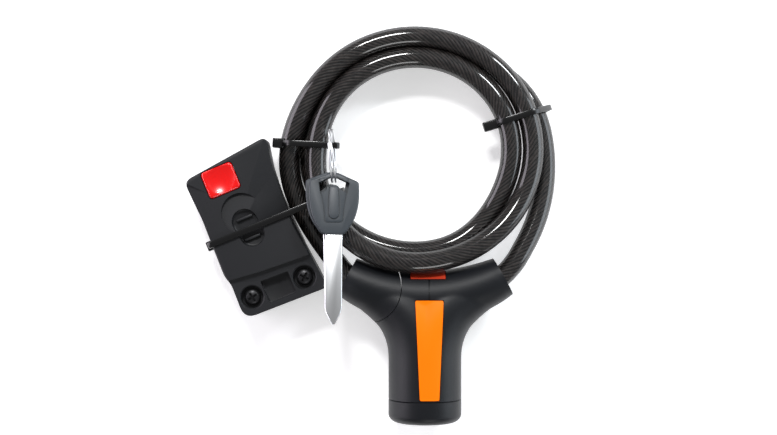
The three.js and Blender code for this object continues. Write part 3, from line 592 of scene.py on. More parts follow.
class LOCK_OT_cable(bpy.types.Operator):
    """Lays the cable: plug lead, the turns of the coil and the fixed lead, in one piece"""
    bl_idname = "cable_lock.cable"
    bl_label = "Cable"

    def execute(self, context):
        diameter = context.scene.cable_lock.cable_diameter
        path = [(p - ORIGIN) * MM for p in cable_route()]
        cable, lengths = tube_mesh("cable", path, diameter / 2, CABLE_SIDES)
        cable.data.materials.append(MATERIALS["smoked_vinyl"])
        smooth(cable)
        tie = (place_on_coil(RIGHT_TIE_AT).translation - ORIGIN) * MM
        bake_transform(cable)
        # weights that rise from the right tie to the arm's end are worked out here; nothing uses them
        free = min(range(len(path) // 2, len(path)), key=lambda i: (path[i] - tie).length)
        weights = []
        for i in range(len(path)):
            t = (lengths[i] - lengths[free]) / (lengths[-1] - lengths[free] - 0.012)
            weights += [ease(t) if i > free else 0.0] * CABLE_SIDES
        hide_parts("cable_coil", "plug_lead", "fixed_lead")
        return {"FINISHED"}


def place_on_coil(degrees):
    """A frame on the bundle: x outwards, y up, z along the cable."""
    a = math.radians(degrees)
    out = Vector((COIL_STRETCH[0] * math.cos(a), COIL_STRETCH[1] * math.sin(a), 0))
    at = Vector((*COIL_CENTRE, 0)) + out * COIL_RADIUS
    out.normalize()
    up = Vector((0, 0, 1))
    matrix = Matrix((out, up, out.cross(up))).transposed().to_4x4()
    matrix.translation = (at.x, at.y, coil_height(at.y))
    return matrix


class LOCK_OT_stage(bpy.types.Operator):
    """Lays the pale floor and sets the soft lights and the camera"""
    bl_idname = "cable_lock.stage"
    bl_label = "Floor, lights and camera"

    def execute(self, context):
        deselect()
        bpy.ops.mesh.primitive_plane_add(size=6)
        floor = named("floor")
        floor.data.materials.append(finish("pale_studio_floor", "#f7f7f7", 0.9, Emission_Color=(1, 1, 1, 1),
                                           Emission_Strength=0.42))
        world = bpy.data.worlds.new("soft_studio")
        context.scene.world = world
        world.use_nodes = True
        background = world.node_tree.nodes["Background"]
        background.inputs["Color"].default_value = (1, 1, 1, 1)
        background.inputs["Strength"].default_value = 0.26
        lights = (
            ("far_softbox", (-0.14, 0.75, 0.9), 0.26, 8.5, (1.0, 1.0, 1.0)),
            ("far_right_softbox", (0.6, 0.62, 0.58), 0.22, 5.0, (0.93, 0.97, 1.0)),
            ("left_panel", (-1.0, 0.2, 0.34), 1.1, 9.5, (0.97, 0.9, 1.0)),
            ("right_panel", (1.0, 0.1, 0.3), 0.9, 5.5, (0.85, 0.93, 1.0)),
            ("near_softbox", (0.25, -0.9, 0.6), 0.5, 2.5, (1.0, 1.0, 1.0)),
        )
        for name, place, size, power, colour in lights:
            deselect()
            bpy.ops.object.light_add(type="AREA", location=place)
            light = bpy.context.object
            light.name = name
            light.data.shape = "RECTANGLE"
            light.data.size = size
            light.data.size_y = size * 0.6
            light.data.energy = power
            light.data.color = colour
            aim = Vector((0.01, 0.02, 0.02)) - Vector(place)
            light.rotation_euler = aim.to_track_quat("-Z", "Y").to_euler()
        deselect()
        view_height = 0.7
        bpy.ops.object.camera_add(location=(0.0081, 0.0212, LOCK_Z * MM + view_height), rotation=(0, 0, 0))
        camera = bpy.context.object
        camera.data.sensor_width = 36
        camera.data.lens = 68.1
        camera.data.clip_start = 0.01
        context.scene.camera = camera
        context.scene.view_settings.view_transform = "Standard"
        return {"FINISHED"}


# ---------------------------------------------------------------- lock body
ARM_ANGLE = math.radians(29)
ARM_LENGTH = 42.5
ARM_END_RADIUS = 9.75
ARM_ROOT_RADIUS = 12.6
BEND_RADIUS = 31.0
CROTCH_RADIUS = 13.0
BARREL_RADIUS = 17.35
REACH = Vector((ARM_LENGTH * math.cos(ARM_ANGLE), ARM_LENGTH * math.sin(ARM_ANGLE)))
SEAM_CENTRE = 9.1
SEAM_RADIUS = 17.9
SEAM_FLANK = 14.6
FERRULE_RADIUS = 5.5
PIN_RADIUS = 4.5
PIN_COLLAR = 2.0
# the groove that the latch drops into: from, to and its radius
PIN_GROOVE = (32.5, 36.5, 3.2)
MOUTH_RADII = (8.7, 6.3)
SLEEVE_LENGTHS = {"plug": 10, "fixed": 17}
# rooms inside the shell, each with its play
HOUSING_RADIUS = 13.0
HOUSING_TOP = -38.0
CAM_ROOM = (-39.0, -34.4, 10.5)
LATCH_ROOM = ((32.6, -15.5, -3.3), (36.4, 0, 3.3))
CROSS_PIN_AT = 16.0
CROSS_ROOM = (7.8, 1.8)
LINE_HALF = 0.28
LINE_DEPTH = 1.1
STRIPE_DEPTH = 1.6
STRIPE_PROUD = 0.4


def arm_place(side):
    """An arm's own frame: x from the arm's end into the body, z up."""
    inward = Vector((-side * math.cos(ARM_ANGLE), -math.sin(ARM_ANGLE), 0))
    up = Vector((0, 0, 1))
    matrix = Matrix((inward, up.cross(inward), up)).transposed().to_4x4()
    matrix.translation = (BARREL_X + side * REACH.x, CORNER_Y + REACH.y, LOCK_Z)
    return matrix


LEFT_ARM = arm_place(-1)
RIGHT_ARM = arm_place(1)


def body_form(name, grow, voxel):
    """The Y-shaped body in one skin, grown or shrunk all over."""
    turn = math.pi / 2 - ARM_ANGLE
    bend_y = CORNER_Y - BEND_RADIUS * math.tan(turn / 2)
    parts = []
    for side in (-1, 1):
        points, radii = [(BARREL_X, SEAM_Y - 4, LOCK_Z)], [BARREL_RADIUS + grow]
        points.append((BARREL_X, (SEAM_Y + bend_y) / 2, LOCK_Z))
        radii.append(BARREL_RADIUS + grow)
        for i in range(15):
            a = turn * i / 14
            points.append((BARREL_X + side * BEND_RADIUS * (1 - math.cos(a)),
                           bend_y + BEND_RADIUS * math.sin(a), LOCK_Z))
            radii.append(grow + blend_value(BARREL_RADIUS, ARM_ROOT_RADIUS + 0.5, (i / 14) ** 2))
        end = Vector((BARREL_X + side * REACH.x, CORNER_Y + REACH.y, LOCK_Z))
        along = (end - Vector(points[-1]))
        for t in (0.22, 0.45, 0.7, 1.0):
            points.append(tuple(Vector(points[16]) + along * t))
            radii.append(grow + ARM_END_RADIUS + (ARM_ROOT_RADIUS + 0.5 - ARM_END_RADIUS) * (1 - t) ** 2.2)
        points.append(tuple(end + along.normalized() * 2.5))
        radii.append(grow + ARM_END_RADIUS)
        parts.append(bevelled_curve(name, points, radii, 22))
    points, radii = [], []
    for i in range(25):
        t = i / 24
        across = blend_value(-REACH.x, REACH.x, t)
        height = REACH.y * ((1 - t) ** 2 + t * t)
        points.append((BARREL_X + across, CORNER_Y + height, LOCK_Z))
        radii.append(grow + blend_value(ARM_END_RADIUS, CROTCH_RADIUS, math.sin(math.pi * t) ** 0.8))
    parts.append(bevelled_curve(name, points, radii, 22))
    deselect()
    for part in parts:
        part.select_set(True)
    bpy.context.view_layer.objects.active = parts[0]
    bpy.ops.object.join()
    form = named(name)
    form.data.remesh_voxel_size = voxel
    bpy.ops.object.voxel_remesh()
    apply(form, "SMOOTH", factor=0.5, iterations=14)
    return form


def grip_region(name, gap):
    """The round-ended region of the plug's grip, in the left arm's frame."""
    reach = SEAM_RADIUS + gap
    flank = math.degrees(math.acos((SEAM_FLANK - SEAM_CENTRE) / reach))
    points = [(-30, -40), (SEAM_FLANK, -40)]
    points += arc((SEAM_CENTRE, 0), reach, -flank, flank, 48) + [(SEAM_FLANK, 40), (-30, 40)]
    return move(plate(name, points, -30, 30), LEFT_ARM)


STRIPE_X = BARREL_X + 1.8


def stripe_outline(gap):
    top, bottom = 13.2 / 2 + gap, 9.1 / 2 + gap
    return rounded([(STRIPE_X - bottom, -63.6 - gap), (STRIPE_X + bottom, -63.6 - gap),
                    (STRIPE_X + top, -17.2 + gap), (STRIPE_X - top, -17.2 + gap)], 0.8)


def crotch_block(gap):
    x = BARREL_X + 1.3
    return block("crotch_tool", (x - 8.2 - gap, -7.2 - gap, 21.2 - gap), (x + 8.2 + gap, -3.2 + gap, 50))


def socket(place):
    """The flared cable mouth of an arm."""
    return move(bar("mouth_tool", (-2.5, 0, 0), (MOUTH_DEPTH, 0, 0), *MOUTH_RADII, 64), place)


def arm_bore(name, start, end, radius):
    """A bore along an arm's axis, as a tool in the arm's own frame."""
    return bar(name, (start, 0, 0), (end, 0, 0), radius)


def barrel_bore(name, start, end, radius):
    """A bore along the barrel's axis."""
    return bar(name, (BARREL_X, start, LOCK_Z), (BARREL_X, end, LOCK_Z), radius)


class LOCK_OT_body(bpy.types.Operator):
    """Makes the Y-shaped shell with its barrel, arms, seams and recesses, and the plug's grip"""
    bl_idname = "cable_lock.body"
    bl_label = "Lock body and grip"

    def execute(self, context):
        voxel = 0.62
        form = body_form("lock_body", 0, voxel)
        grip = copy(form, "grip")
        below = block("seam_tool", (-40, -120, -20), (90, SEAM_Y, 60))
        combine(form, below)
        for side, place in ((-1, LEFT_ARM), (1, RIGHT_ARM)):
            beyond = move(block("end_tool", (-30, -20, -20), (0, 20, 20)), place)
            combine(grip if side < 0 else form, beyond)
        combine(form, grip_region("grip_tool", GAP))
        combine(grip, grip_region("grip_tool", 0), "INTERSECT")
        combine(form, barrel_bore("bore_tool", SEAM_Y - 1, HOUSING_TOP + GAP, HOUSING_RADIUS + GAP))
        pin_radius = PIN_RADIUS + GAP
        combine(form, move(arm_bore("pin_tool", PIN_START, PIN_TIP + 1, pin_radius + 0.05), LEFT_ARM))
        combine(form, move(block("latch_tool", *LATCH_ROOM), LEFT_ARM))
        combine(form, barrel_bore("cam_tool", *CAM_ROOM))
        half, radius = CROSS_ROOM
        cross = bar("cross_tool", (CROSS_PIN_AT, 0, -half), (CROSS_PIN_AT, 0, half), radius, sides=24)
        combine(form, move(cross, RIGHT_ARM))
        sleeve_start, sleeve_radius = MOUTH_DEPTH - 1, FERRULE_RADIUS + GAP
        sleeve_end = MOUTH_DEPTH + SLEEVE_LENGTHS["fixed"] + GAP
        combine(form, socket(RIGHT_ARM))
        combine(form, move(arm_bore("ferrule_tool", sleeve_start, sleeve_end, sleeve_radius), RIGHT_ARM))
        collar_end = PIN_START + PIN_COLLAR + GAP
        combine(grip, socket(LEFT_ARM))
        combine(grip, move(arm_bore("ferrule_tool", sleeve_start, collar_end, sleeve_radius), LEFT_ARM))
        combine(grip, move(arm_bore("pin_tool", 20, 45, pin_radius), LEFT_ARM))
        trench = plate("stripe_tool", stripe_outline(GAP), LOCK_Z + 4, LOCK_Z + 30)
        inner = body_form("inner_form", -STRIPE_DEPTH, voxel)
        outer = body_form("outer_form", STRIPE_PROUD, voxel)
        combine(trench, inner, keep=True)
        combine(form, trench)
        combine(form, crotch_block(GAP))
        # the moulding's parting line, from the red insert to the stripe
        line = block("line_tool", (STRIPE_X - LINE_HALF, -18, LOCK_Z + 4), (STRIPE_X + LINE_HALF, -6, 50))
        combine(line, body_form("line_form", -LINE_DEPTH, voxel))
        combine(form, line)
        stripe = plate("stripe", stripe_outline(0), LOCK_Z + 4, LOCK_Z + 30)
        combine(stripe, inner)
        combine(stripe, outer, "INTERSECT", keep=True)
        insert = crotch_block(0)
        insert.name = "crotch_trim"
        combine(insert, outer, "INTERSECT")
        settle(form, "lock", "charcoal_plastic", "lock_shell", angle=40)
        settle(grip, "bundle", "charcoal_plastic", "plug_grip", angle=40)
        settle(stripe, "lock", "orange_plastic", "stripe_insert", angle=40)
        settle(insert, "lock", "red_orange_plastic", "crotch_insert", angle=40)
        return {"FINISHED"}


class LOCK_OT_barrel(bpy.types.Operator):
    """Turns the end cap, the plug's pin and the two crimped ferrules"""
    bl_idname = "cable_lock.barrel"
    bl_label = "End cap and turned parts"

    def execute(self, context):
        height = SEAM_Y - BOTTOM_Y - GAP
        edge = 5.0
        profile = [(7.0, 0), (7.0, 2.2), (11.0, 2.2), (11.0, height), (BARREL_RADIUS - 0.3, height)]
        profile += [(BARREL_RADIUS, height - 0.3)]
        profile += [(BARREL_RADIUS - edge + x, edge * 0.8 - y * 0.8)
                    for x, y in arc((0, 0), edge, 0, 90, 12)]
        profile += [(7.4, 0)]
        up_the_barrel = (Matrix.Translation((BARREL_X, BOTTOM_Y, LOCK_Z))
                         @ Matrix.Rotation(math.radians(-90), 4, "X"))
        settle(spin("cap", profile, 96), "lock", "charcoal_plastic", "end_cap", place=up_the_barrel)
        along_arm = Matrix.Rotation(math.radians(90), 4, "Y")
        groove_start, groove_end, groove_radius = PIN_GROOVE
        pin = [(0, PIN_START), (FERRULE_RADIUS - 0.3, PIN_START), (FERRULE_RADIUS, PIN_START + 0.3),
               (FERRULE_RADIUS, PIN_START + PIN_COLLAR), (PIN_RADIUS, PIN_START + PIN_COLLAR),
               (PIN_RADIUS, groove_start), (groove_radius, groove_start),
               (groove_radius, groove_end), (PIN_RADIUS, groove_end), (PIN_RADIUS, PIN_TIP - 1.8),
               (PIN_RADIUS - 0.5, PIN_TIP - 1.0), (PIN_RADIUS - 1.8, PIN_TIP), (0, PIN_TIP)]
        settle(spin("pin", pin), "bundle", "steel", "plug_pin", place=LEFT_ARM @ along_arm)
        for side, place, body, grooves in (
                ("plug", LEFT_ARM, "bundle", (3, 7)), ("fixed", RIGHT_ARM, "lock", (3, 12))):
            sleeve = [(0, MOUTH_DEPTH), (FERRULE_RADIUS, MOUTH_DEPTH)]
            for groove in grooves:
                at = MOUTH_DEPTH + groove
                sleeve += [(FERRULE_RADIUS, at - 0.9), (FERRULE_RADIUS - 0.4, at - 0.6),
                           (FERRULE_RADIUS - 0.4, at + 0.6), (FERRULE_RADIUS, at + 0.9)]
            end = MOUTH_DEPTH + SLEEVE_LENGTHS[side]
            sleeve += [(FERRULE_RADIUS, end), (0, end)]
            settle(spin(side + "_sleeve", sleeve), body, "zinc", side + "_ferrule",
                   place=place @ along_arm)
        return {"FINISHED"}


# ---------------------------------------------------------------- ties
STRAP_WIDTH = 2.8
STRAP_THICKNESS = 1.2
STRAP_CLEARANCE = 0.45
CABLE_RADIUS = 5.0


def wrap(circles, grow, steps=30):
    """The tight outline round a set of circles (x, y, radius)."""
    points = [p for x, y, r in circles for p in arc((x, y), r + grow, 0, 360 - 360 / steps, steps - 1)]
    return [points[i] for i in geometry.convex_hull_2d([Vector(p) for p in points])]


def tie(name, node, body, circles, head, place):
    """A nylon tie: a closed strap and a ratchet head with a pocket in each face."""
    half = STRAP_WIDTH / 2
    strap = plate(name, wrap(circles, STRAP_CLEARANCE + STRAP_THICKNESS), -half, half)
    bevel(strap, 0.3, 2)
    combine(strap, plate("tie_tool", wrap(circles, STRAP_CLEARANCE), -4, 4))
    (x0, y0), (x1, y1) = head
    shell = plate("head", rounded([(x0, y0), (x1, y0), (x1, y1), (x0, y1)], 0.8), -half - 0.9, half + 0.9)
    bevel(shell, 0.45, 3)
    combine(shell, plate("tie_tool", wrap(circles, STRAP_CLEARANCE), -6, 6))
    combine(strap, shell, "UNION")
    x, y = (x0 + x1) / 2, (y0 + y1) / 2
    for sign in (-1, 1):
        pocket = block("pocket_tool", (x - 1.0, y - 1.5, sign * (half + 0.5)),
                       (x + 1.0, y + 1.5, sign * (half + 2)))
        combine(strap, pocket)
    settle(strap, body, "tie_nylon", node, place=place)
    return strap


class LOCK_OT_ties(bpy.types.Operator):
    """Closes the three nylon ties round the bundle and the bracket"""
    bl_idname = "cable_lock.ties"
    bl_label = "Cable ties"

    def execute(self, context):
        def bundle(place, extra):
            a = place.to_3x3() @ Vector((1, 0, 0))
            turn = math.atan2(a.y / COIL_STRETCH[1], a.x / COIL_STRETCH[0])
            scale = math.hypot(COIL_STRETCH[0] * math.cos(turn), COIL_STRETCH[1] * math.sin(turn))
            return [(slot.x * scale, slot.y, CABLE_RADIUS) for slot in (SLOT_A, SLOT_B, SLOT_M)] + extra

        left = place_on_coil(LEFT_TIE_AT)
        tie("left_tie", "tie_left", "bundle", bundle(left, [(-14.2, 8.6, 0.3), (-14.2, 2.5, 0.3)]),
            ((10.4, -1.5), (15.9, 7)), left)
        right = place_on_coil(RIGHT_TIE_AT)
        tie("right_tie", "tie_right", "bundle", bundle(right, [(10.9, -4.2, CABLE_RADIUS)]),
            ((-17.6, 2.6), (-10.4, 7.4)), right)
        across = Matrix(((1, 0, 0), (0, 0, 1), (0, -1, 0))).transposed().to_4x4()
        across.translation = (0, 0.7, 0)
        circles = [(-20.6, FRONT_Z - 0.8, 0.6), (18, FRONT_Z - 0.8, 0.6), (-20.6, 2.5, 0.6), (18, 2.5, 0.6),
                   (30, 18.6, CABLE_RADIUS + 0.6), (39.6, 18.4, CABLE_RADIUS + 0.8),
                   (33.5, 9, CABLE_RADIUS + 0.6)]
        tie("bracket_tie", "tie_bracket", "bundle", circles, ((-24.6, 10), (-20.4, 16)),
            BRACKET_PLACE @ across)
        return {"FINISHED"}


# ---------------------------------------------------------------- frame bracket
# how steeply the thumb ramp and the two corner faces fall away
RAMP_SLOPE = 0.1
RIGHT_SLOPE = 0.28
LEFT_SLOPE = 0.17
RECESS_DEPTH = 4.6


class LOCK_OT_bracket(bpy.types.Operator):
    """Makes the bracket's front housing with its scoop, finger dish, step, recess and screw seats"""
    bl_idname = "cable_lock.bracket"
    bl_label = "Bracket housing"

    def execute(self, context):
        corners = [(-21.8, 33.2), (-20.6, 13), (-21, -3), (-21.2, -15), (-19.8, -21), (-20.2, -37.8),
                   (21.6, -38.8), (21.2, -31), (18.2, -3), (18.4, 9), (19.4, 24), (22.4, 38.2)]
        housing = plate("bracket_front", rounded(corners, [4, 3, 3, 1.5, 1.5, 6, 2.5, 3, 3, 3, 3, 4]),
                        SPLIT_Z - 1.2, FRONT_Z)
        bevel(housing, 1.2, 4, 50)
        combine(housing, block("split_tool", (-40, -60, -5), (40, 60, SPLIT_Z + GAP)))
        step = rounded([(-30, -60), (30, -60), (30, -21.2), (17, -21), (-3.8, -19.8), (-30, -17)], 0.5)
        combine(housing, bevel(plate("step_tool", step, FOOT_Z, FRONT_Z + 5), 0.35, 2))
        cavity = plate("cavity_tool", rounded([(-18.4, 30), (-17.6, -18), (-17.4, -34.5), (18.4, -35.5),
                                               (15.4, -3), (16.6, 33)], 3), SPLIT_Z - 1, FOOT_Z - 3.2)
        for at in SCREW_SEATS:
            combine(cavity, post("boss_tool", at, 6.8, 0, 40))
        combine(cavity, block("floor_tool", (-8, -37, FOOT_Z - 6), (9, -22, FOOT_Z)))
        combine(housing, cavity)
        # a round thumb ramp that runs down under the button
        ramp = outline("ramp_tool", [(x, y, FRONT_Z - RAMP_SLOPE * (y - 1.0))
                                     for x, y in arc((-2.3, 9.1), 9.5, 0, 356.25, 95)])
        combine(housing, extrude(ramp, (0, 0, 12)))
        dish = arc((0, 3.4), 6, 0, 180, 20) + arc((0, -3.4), 6, 180, 360, 20)
        dish_tool = bevel(plate("dish_tool", dish, 0, 6), 1.0, 3)
        combine(housing, move(dish_tool, Matrix.Translation((-1.9, 1.5, FRONT_Z - 3.2))
                              @ Matrix.Rotation(0.16, 4, "Z")))
        for y in (6.4, -3.5):
            rib = bevel(block("rib", (-5.8, y - 0.6, FRONT_Z - 4), (2, y + 0.6, FRONT_Z - 1.5)), 0.35, 2)
            combine(housing, rib, "UNION")
        recess = rounded([(-6.4, -35.2), (7.2, -35.2), (7.3, -24.4), (-6.6, -24)], 1)
        combine(housing, bevel(plate("recess_tool", recess, FOOT_Z - RECESS_DEPTH, FOOT_Z + 5), 0.3, 2))
        for at in SCREW_SEATS:
            seat = spin("seat_tool", [(0, SCREW_SEAT_Z), (5.4, SCREW_SEAT_Z), (5.4, FOOT_Z - 0.5),
                                      (6.0, FOOT_Z + 0.1), (6.0, 40), (0, 40)], 64)
            combine(housing, move(seat, Matrix.Translation((*at, 0))))
            combine(housing, post("shank_tool", at, 2.3, 0, 40))
        window = rectangle(BUTTON_SIZE[0] + 2 * GAP, BUTTON_SIZE[1] + 2 * GAP, 2.2)
        at_button = Matrix.Translation((*BUTTON_AT, 0))
        combine(housing, move(plate("window_tool", window, 12, 40), at_button))
        # two faces slope away from creases at the far corners
        crease = Vector((0.604, 0.797))
        start = Vector((6.2, 19.6))

        def right_slope(x, y):
            return FRONT_Z - RIGHT_SLOPE * (crease.y * (x - start.x) - crease.x * (y - start.y))

        corners = ((-8.1, 0.7), (40, 0.7), (40, 60), (36.8, 60))
        facet = outline("facet_tool", [(x, y, right_slope(x, y)) for x, y in corners])
        combine(housing, extrude(facet, (0, 0, 15)))

        def left_slope(x, y):
            return FRONT_Z + LEFT_SLOPE * ((x + 13.3) + 0.194 * (23.7 - y))

        corners = ((-13.3, 23.7), (-27.0, 38.2), (-30.0, 0.7), (-17.75, 0.7))
        facet = outline("facet_tool", [(x, y, left_slope(x, y)) for x, y in corners])
        combine(housing, extrude(facet, (0, 0, 15)))
        settle(housing, "bundle", "bracket_plastic", "bracket_housing", place=BRACKET_PLACE, angle=30)
        return {"FINISHED"}


BUTTON_DISH = 17.0
BUTTON_DISH_DEPTH = 1.5
SPRING_RADIUS = 3.0
SPRING_WIRE = 0.35
SPRING_TURNS = 5


class LOCK_OT_button(bpy.types.Operator):
    """Makes the red push button with its dished face, and winds the return spring under it"""
    bl_idname = "cable_lock.button"
    bl_label = "Release button"

    def execute(self, context):
        low, high = BUTTON_HEIGHTS
        button = plate("push_button", rectangle(*BUTTON_SIZE, 2.0), low, high)
        bevel(button, 1.1, 5, 50)
        dish_at = (0.4, 0.6, high - BUTTON_DISH_DEPTH + BUTTON_DISH)
        combine(button, ball("button_tool", dish_at, BUTTON_DISH, 128, 96))
        place = BRACKET_PLACE @ Matrix.Translation((*BUTTON_AT, 0))
        settle(button, "button", "red_plastic", "release_button", place=place, angle=30)
        # the return spring under it, a helix of wire
        bottom, top, steps = SPLIT_Z + 0.9, low - 0.9, 24 * SPRING_TURNS
        coils = []
        for i in range(steps + 1):
            a = 2 * math.pi * i / 24
            coils.append((SPRING_RADIUS * math.cos(a), SPRING_RADIUS * math.sin(a),
                          blend_value(bottom, top, i / steps)))
        coil = bevelled_curve("return_spring", coils, [SPRING_WIRE] * len(coils), 3)
        settle(coil, "bundle", "steel", "button_spring", place=place)
        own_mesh(coil)
        return {"FINISHED"}


HEAD_RADIUS = 3.9


class LOCK_OT_screws(bpy.types.Operator):
    """Makes the two black cross-head screws"""
    bl_idname = "cable_lock.screws"
    bl_label = "Bracket screws"

    def execute(self, context):
        seat = SCREW_SEAT_Z + GAP
        profile = [(0, 5.5), (1.7, 5.5), (2.0, 6.0), (2.0, seat), (HEAD_RADIUS, seat)]
        profile += [(HEAD_RADIUS * math.cos(a), seat + 0.9 + 1.7 * math.sin(a))
                    for a in [math.radians(10 * i) for i in range(9)]] + [(0, seat + 2.6)]
        for side, at, turn in (("left", SCREW_SEATS[0], 0.2), ("right", SCREW_SEATS[1], 0.7)):
            screw = spin("screw_" + side, profile, 48)
            for half_x, half_y in ((2.3, 0.5), (0.5, 2.3)):
                slot = block("cross_tool", (-half_x, -half_y, seat + 0.9), (half_x, half_y, 40))
                combine(screw, bevel(slot, 0.2, 1))
            place = BRACKET_PLACE @ Matrix.Translation((*at, 0)) @ Matrix.Rotation(turn, 4, "Z")
            settle(screw, "bundle", "black_steel", "bracket_screw_" + side, place=place)
        return {"FINISHED"}


# ---------------------------------------------------------------- split ring and keys
class LOCK_OT_ring(bpy.types.Operator):
    """Winds the split ring: two close turns of wire with a jog between them"""
    bl_idname = "cable_lock.ring"
    bl_label = "Split ring"

    def execute(self, context):
        points, steps = [], 192
        wire, apart = 0.52, 0.84
        for i in range(steps + 1):
            t = i / steps
            a = 4 * math.pi * t + 1.1
            across = blend_value(-apart, apart, ease((t - 0.42) / 0.16))
            points.append((across, RING_RADIUS * math.cos(a), RING_RADIUS * math.sin(a)))
        ring = bevelled_curve("split_ring", points, [wire] * len(points), 5)
        place = Matrix.Translation(RING_AT) @ Matrix.Rotation(RING_TURN, 4, "Z")
        settle(ring, "ring", "steel", "key_ring", place=place, angle=50)
        return {"FINISHED"}


def bezier(p0, p1, p2, p3, steps=12):
    result = []
    for i in range(1, steps + 1):
        t = i / steps
        weights = ((1 - t) ** 3, 3 * t * (1 - t) ** 2, 3 * t * t * (1 - t), t ** 3)
        result.append(tuple(sum(w * p[k] for w, p in zip(weights, (p0, p1, p2, p3))) for k in (0, 1)))
    return result


def bow_outline():
    """The bow: a shallow roof at the ring, round flanks, and a short neck at the blade."""
    side = [(12.2, -3.4)] + bezier((12.2, -3.4), (12.9, -12), (12, -19), (7.4, -25))
    side += bezier((7.4, -25), (6.1, -27.2), (4.8, -28.3), (3.6, -28.3), 6)
    other = [(-x, y) for x, y in reversed(side)][:-1] + [(-12.2, -2.4)]
    return [(-2, 1), (2, 1)] + side + other


GROOVE_DEPTH = 0.36
BLADE_HALF = 4.0
BLADE_TIP = -28.6 - 41.5


def panel(inset):
    """The sunk panel in the middle of the bow."""
    w, foot = 7.5 - inset, -22.9 + inset
    side = [(w, -2.0), (w - 1.1, -9.5), (w - 2.3, -16)] + arc((w - 4.0, foot + 1.3), 1.3, -5, -80, 5)
    return [(-x, y) for x, y in reversed(side)] + side


def tongue(inset):
    """The raised tongue in the middle of the panel."""
    w = 2.9 - inset
    ends = [(w, -12), (w - 0.5, -5.9), (0.5 - w, -5.9), (-w, -12)]
    return arc((0, -18.4), w, 180, 360, 16) + ends


def fan():
    """The slot for the ring: straight at the roof, and bowed round the head of the tongue."""
    return ([(-7.5, -3.7), (-2, -1.1), (2, -1.1), (7.7, -3.9), (6.6, -9.2)]
            + bezier((6.6, -9.2), (4.9, -7.8), (3.4, -7.2), (2.5, -6.0), 5)
            + bezier((2.5, -6.0), (1.7, -4.4), (-1.7, -4.4), (-2.5, -6.0), 6)
            + bezier((-2.5, -6.0), (-3.4, -7.2), (-4.9, -7.8), (-6.6, -9.2), 5))


class LOCK_OT_keys(bpy.types.Operator):
    """Makes the two keys: moulded bows with slot, tongue and panel, and nickel-plated blades"""
    bl_idname = "cable_lock.keys"
    bl_label = "Keys"

    def execute(self, context):
        half = KEY_THICKNESS / 2
        bow = plate("bow", bow_outline(), -half, half)
        bevel(bow, 1.0, 4, 40)
        # on each face a groove runs round the middle panel and another round the raised tongue
        for side in (1, -1):
            def slab(name, points, deep, shallow):
                low, high = sorted((side * (half - deep), side * (half - shallow)))
                return plate(name, points, low, high)

            combine(bow, slab("panel_tool", panel(0), GROOVE_DEPTH, -2))
            combine(bow, bevel(slab("middle", panel(0.5), 0.5, 0.06), 0.14, 2), "UNION")
            combine(bow, slab("tongue_tool", tongue(0), GROOVE_DEPTH, -2))
            combine(bow, bevel(slab("tongue", tongue(0.5), 0.6, -0.25), 0.3, 3), "UNION")
        combine(bow, plate("fan_tool", fan(), -5, 5))
        move(bow, Matrix.Diagonal((0.95, 1, 1, 1)))
        socket_tool = block("socket_tool", (-4.55, -40, -1.4), (4.55, -21.7, 1.4))
        combine(bow, socket_tool)
        w, tip = BLADE_HALF, BLADE_TIP
        blade_outline = [(-w, -22), (-w, tip + 8), (-w + 0.5, tip + 5.8), (-0.5, tip), (0.5, tip),
                         (w - 0.5, tip + 5.8), (w, tip + 8), (w, -22)]
        blade = plate("blade", blade_outline, -1.1, 1.1)
        bevel(blade, 0.62, 3, 30)
        for name, at, yaw in KEYS:
            place = Matrix.Translation(at) @ Matrix.Rotation(yaw, 4, "Z") @ Matrix.Rotation(-KEY_TILT, 4, "X")
            settle(copy(bow, name + "_head"), name, "key_plastic", name + "_bow", place=place)
            settle(copy(blade, name + "_shank"), name, "steel", name + "_blade", place=place)
        bpy.data.objects.remove(bow, do_unlink=True)
        bpy.data.objects.remove(blade, do_unlink=True)
        return {"FINISHED"}


class LOCK_OT_metalwork(bpy.types.Operator):
    """Gives the inner parts that keep their engineering shape their finishes"""
    bl_idname = "cable_lock.metalwork"
    bl_label = "Inner parts"

    def execute(self, context):
        slots = {row["node"]: row["material_slot"] for row in frame["record"]["subparts"]}
        for node, piece in frame["nodes"].items():
            if piece.hide_render:
                continue
            material = MATERIALS[slots[node]]
            for place in piece.material_slots:
                place.material = material
        return {"FINISHED"}


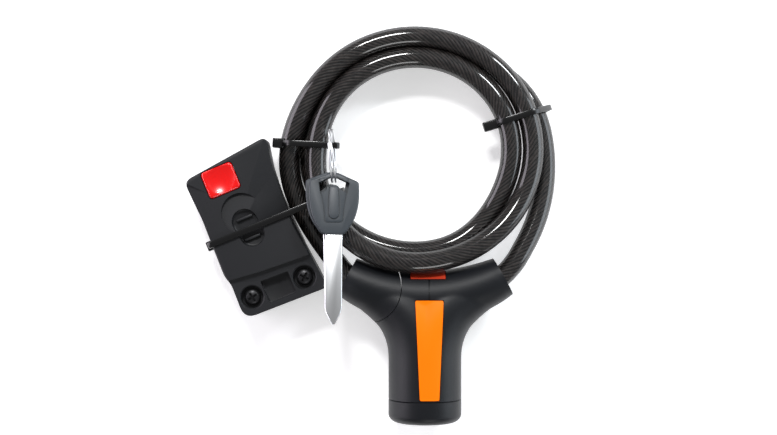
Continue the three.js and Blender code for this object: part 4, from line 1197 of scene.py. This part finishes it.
class LOCK_PG_choices(bpy.types.PropertyGroup):
    """The size and the colours that can be changed"""
    cable_diameter: bpy.props.FloatProperty(
        name="Cable diameter", description="Outside of the vinyl jacket", default=0.01, min=0.006,
        max=0.014, unit="LENGTH", subtype="DISTANCE")
    stripe_colour: bpy.props.FloatVectorProperty(
        name="Stripe colour", description="The insert down the front of the barrel", subtype="COLOR",
        default=linear("#fb7600"), min=0, max=1)
    button_colour: bpy.props.FloatVectorProperty(
        name="Button colour", description="The bracket's release button", subtype="COLOR",
        default=linear("#d90303"), min=0, max=1)
    bow_colour: bpy.props.FloatVectorProperty(
        name="Bow colour", description="The plastic bows of the keys", subtype="COLOR",
        default=linear("#31373c"), min=0, max=1)


OPERATORS = (
    LOCK_OT_stage, LOCK_OT_cable, LOCK_OT_body, LOCK_OT_barrel, LOCK_OT_ties, LOCK_OT_bracket,
    LOCK_OT_button, LOCK_OT_screws, LOCK_OT_ring, LOCK_OT_keys, LOCK_OT_metalwork,
)


class LOCK_PT_panel(bpy.types.Panel):
    """Lists the lock's pieces"""
    bl_label = "Key cable lock"
    bl_idname = "LOCK_PT_panel"
    bl_space_type = "VIEW_3D"
    bl_region_type = "UI"
    bl_category = "Cable lock"

    def draw(self, context):
        for choice in ("cable_diameter", "stripe_colour", "button_colour", "bow_colour"):
            self.layout.prop(context.scene.cable_lock, choice)
        for operator in OPERATORS:
            self.layout.operator(operator.bl_idname)


def register():
    bpy.utils.register_class(LOCK_PG_choices)
    bpy.types.Scene.cable_lock = bpy.props.PointerProperty(type=LOCK_PG_choices)
    for operator in OPERATORS:
        bpy.utils.register_class(operator)
    bpy.utils.register_class(LOCK_PT_panel)


def unregister():
    bpy.utils.unregister_class(LOCK_PT_panel)
    for operator in reversed(OPERATORS):
        bpy.utils.unregister_class(operator)
    del bpy.types.Scene.cable_lock
    bpy.utils.unregister_class(LOCK_PG_choices)


def main():
    register()
    MATERIALS.update(make_materials(bpy.context.scene.cable_lock))
    for operator in OPERATORS:
        group, name = operator.bl_idname.split(".")
        getattr(getattr(bpy.ops, group), name)()


if __name__ == "__main__":
    main()
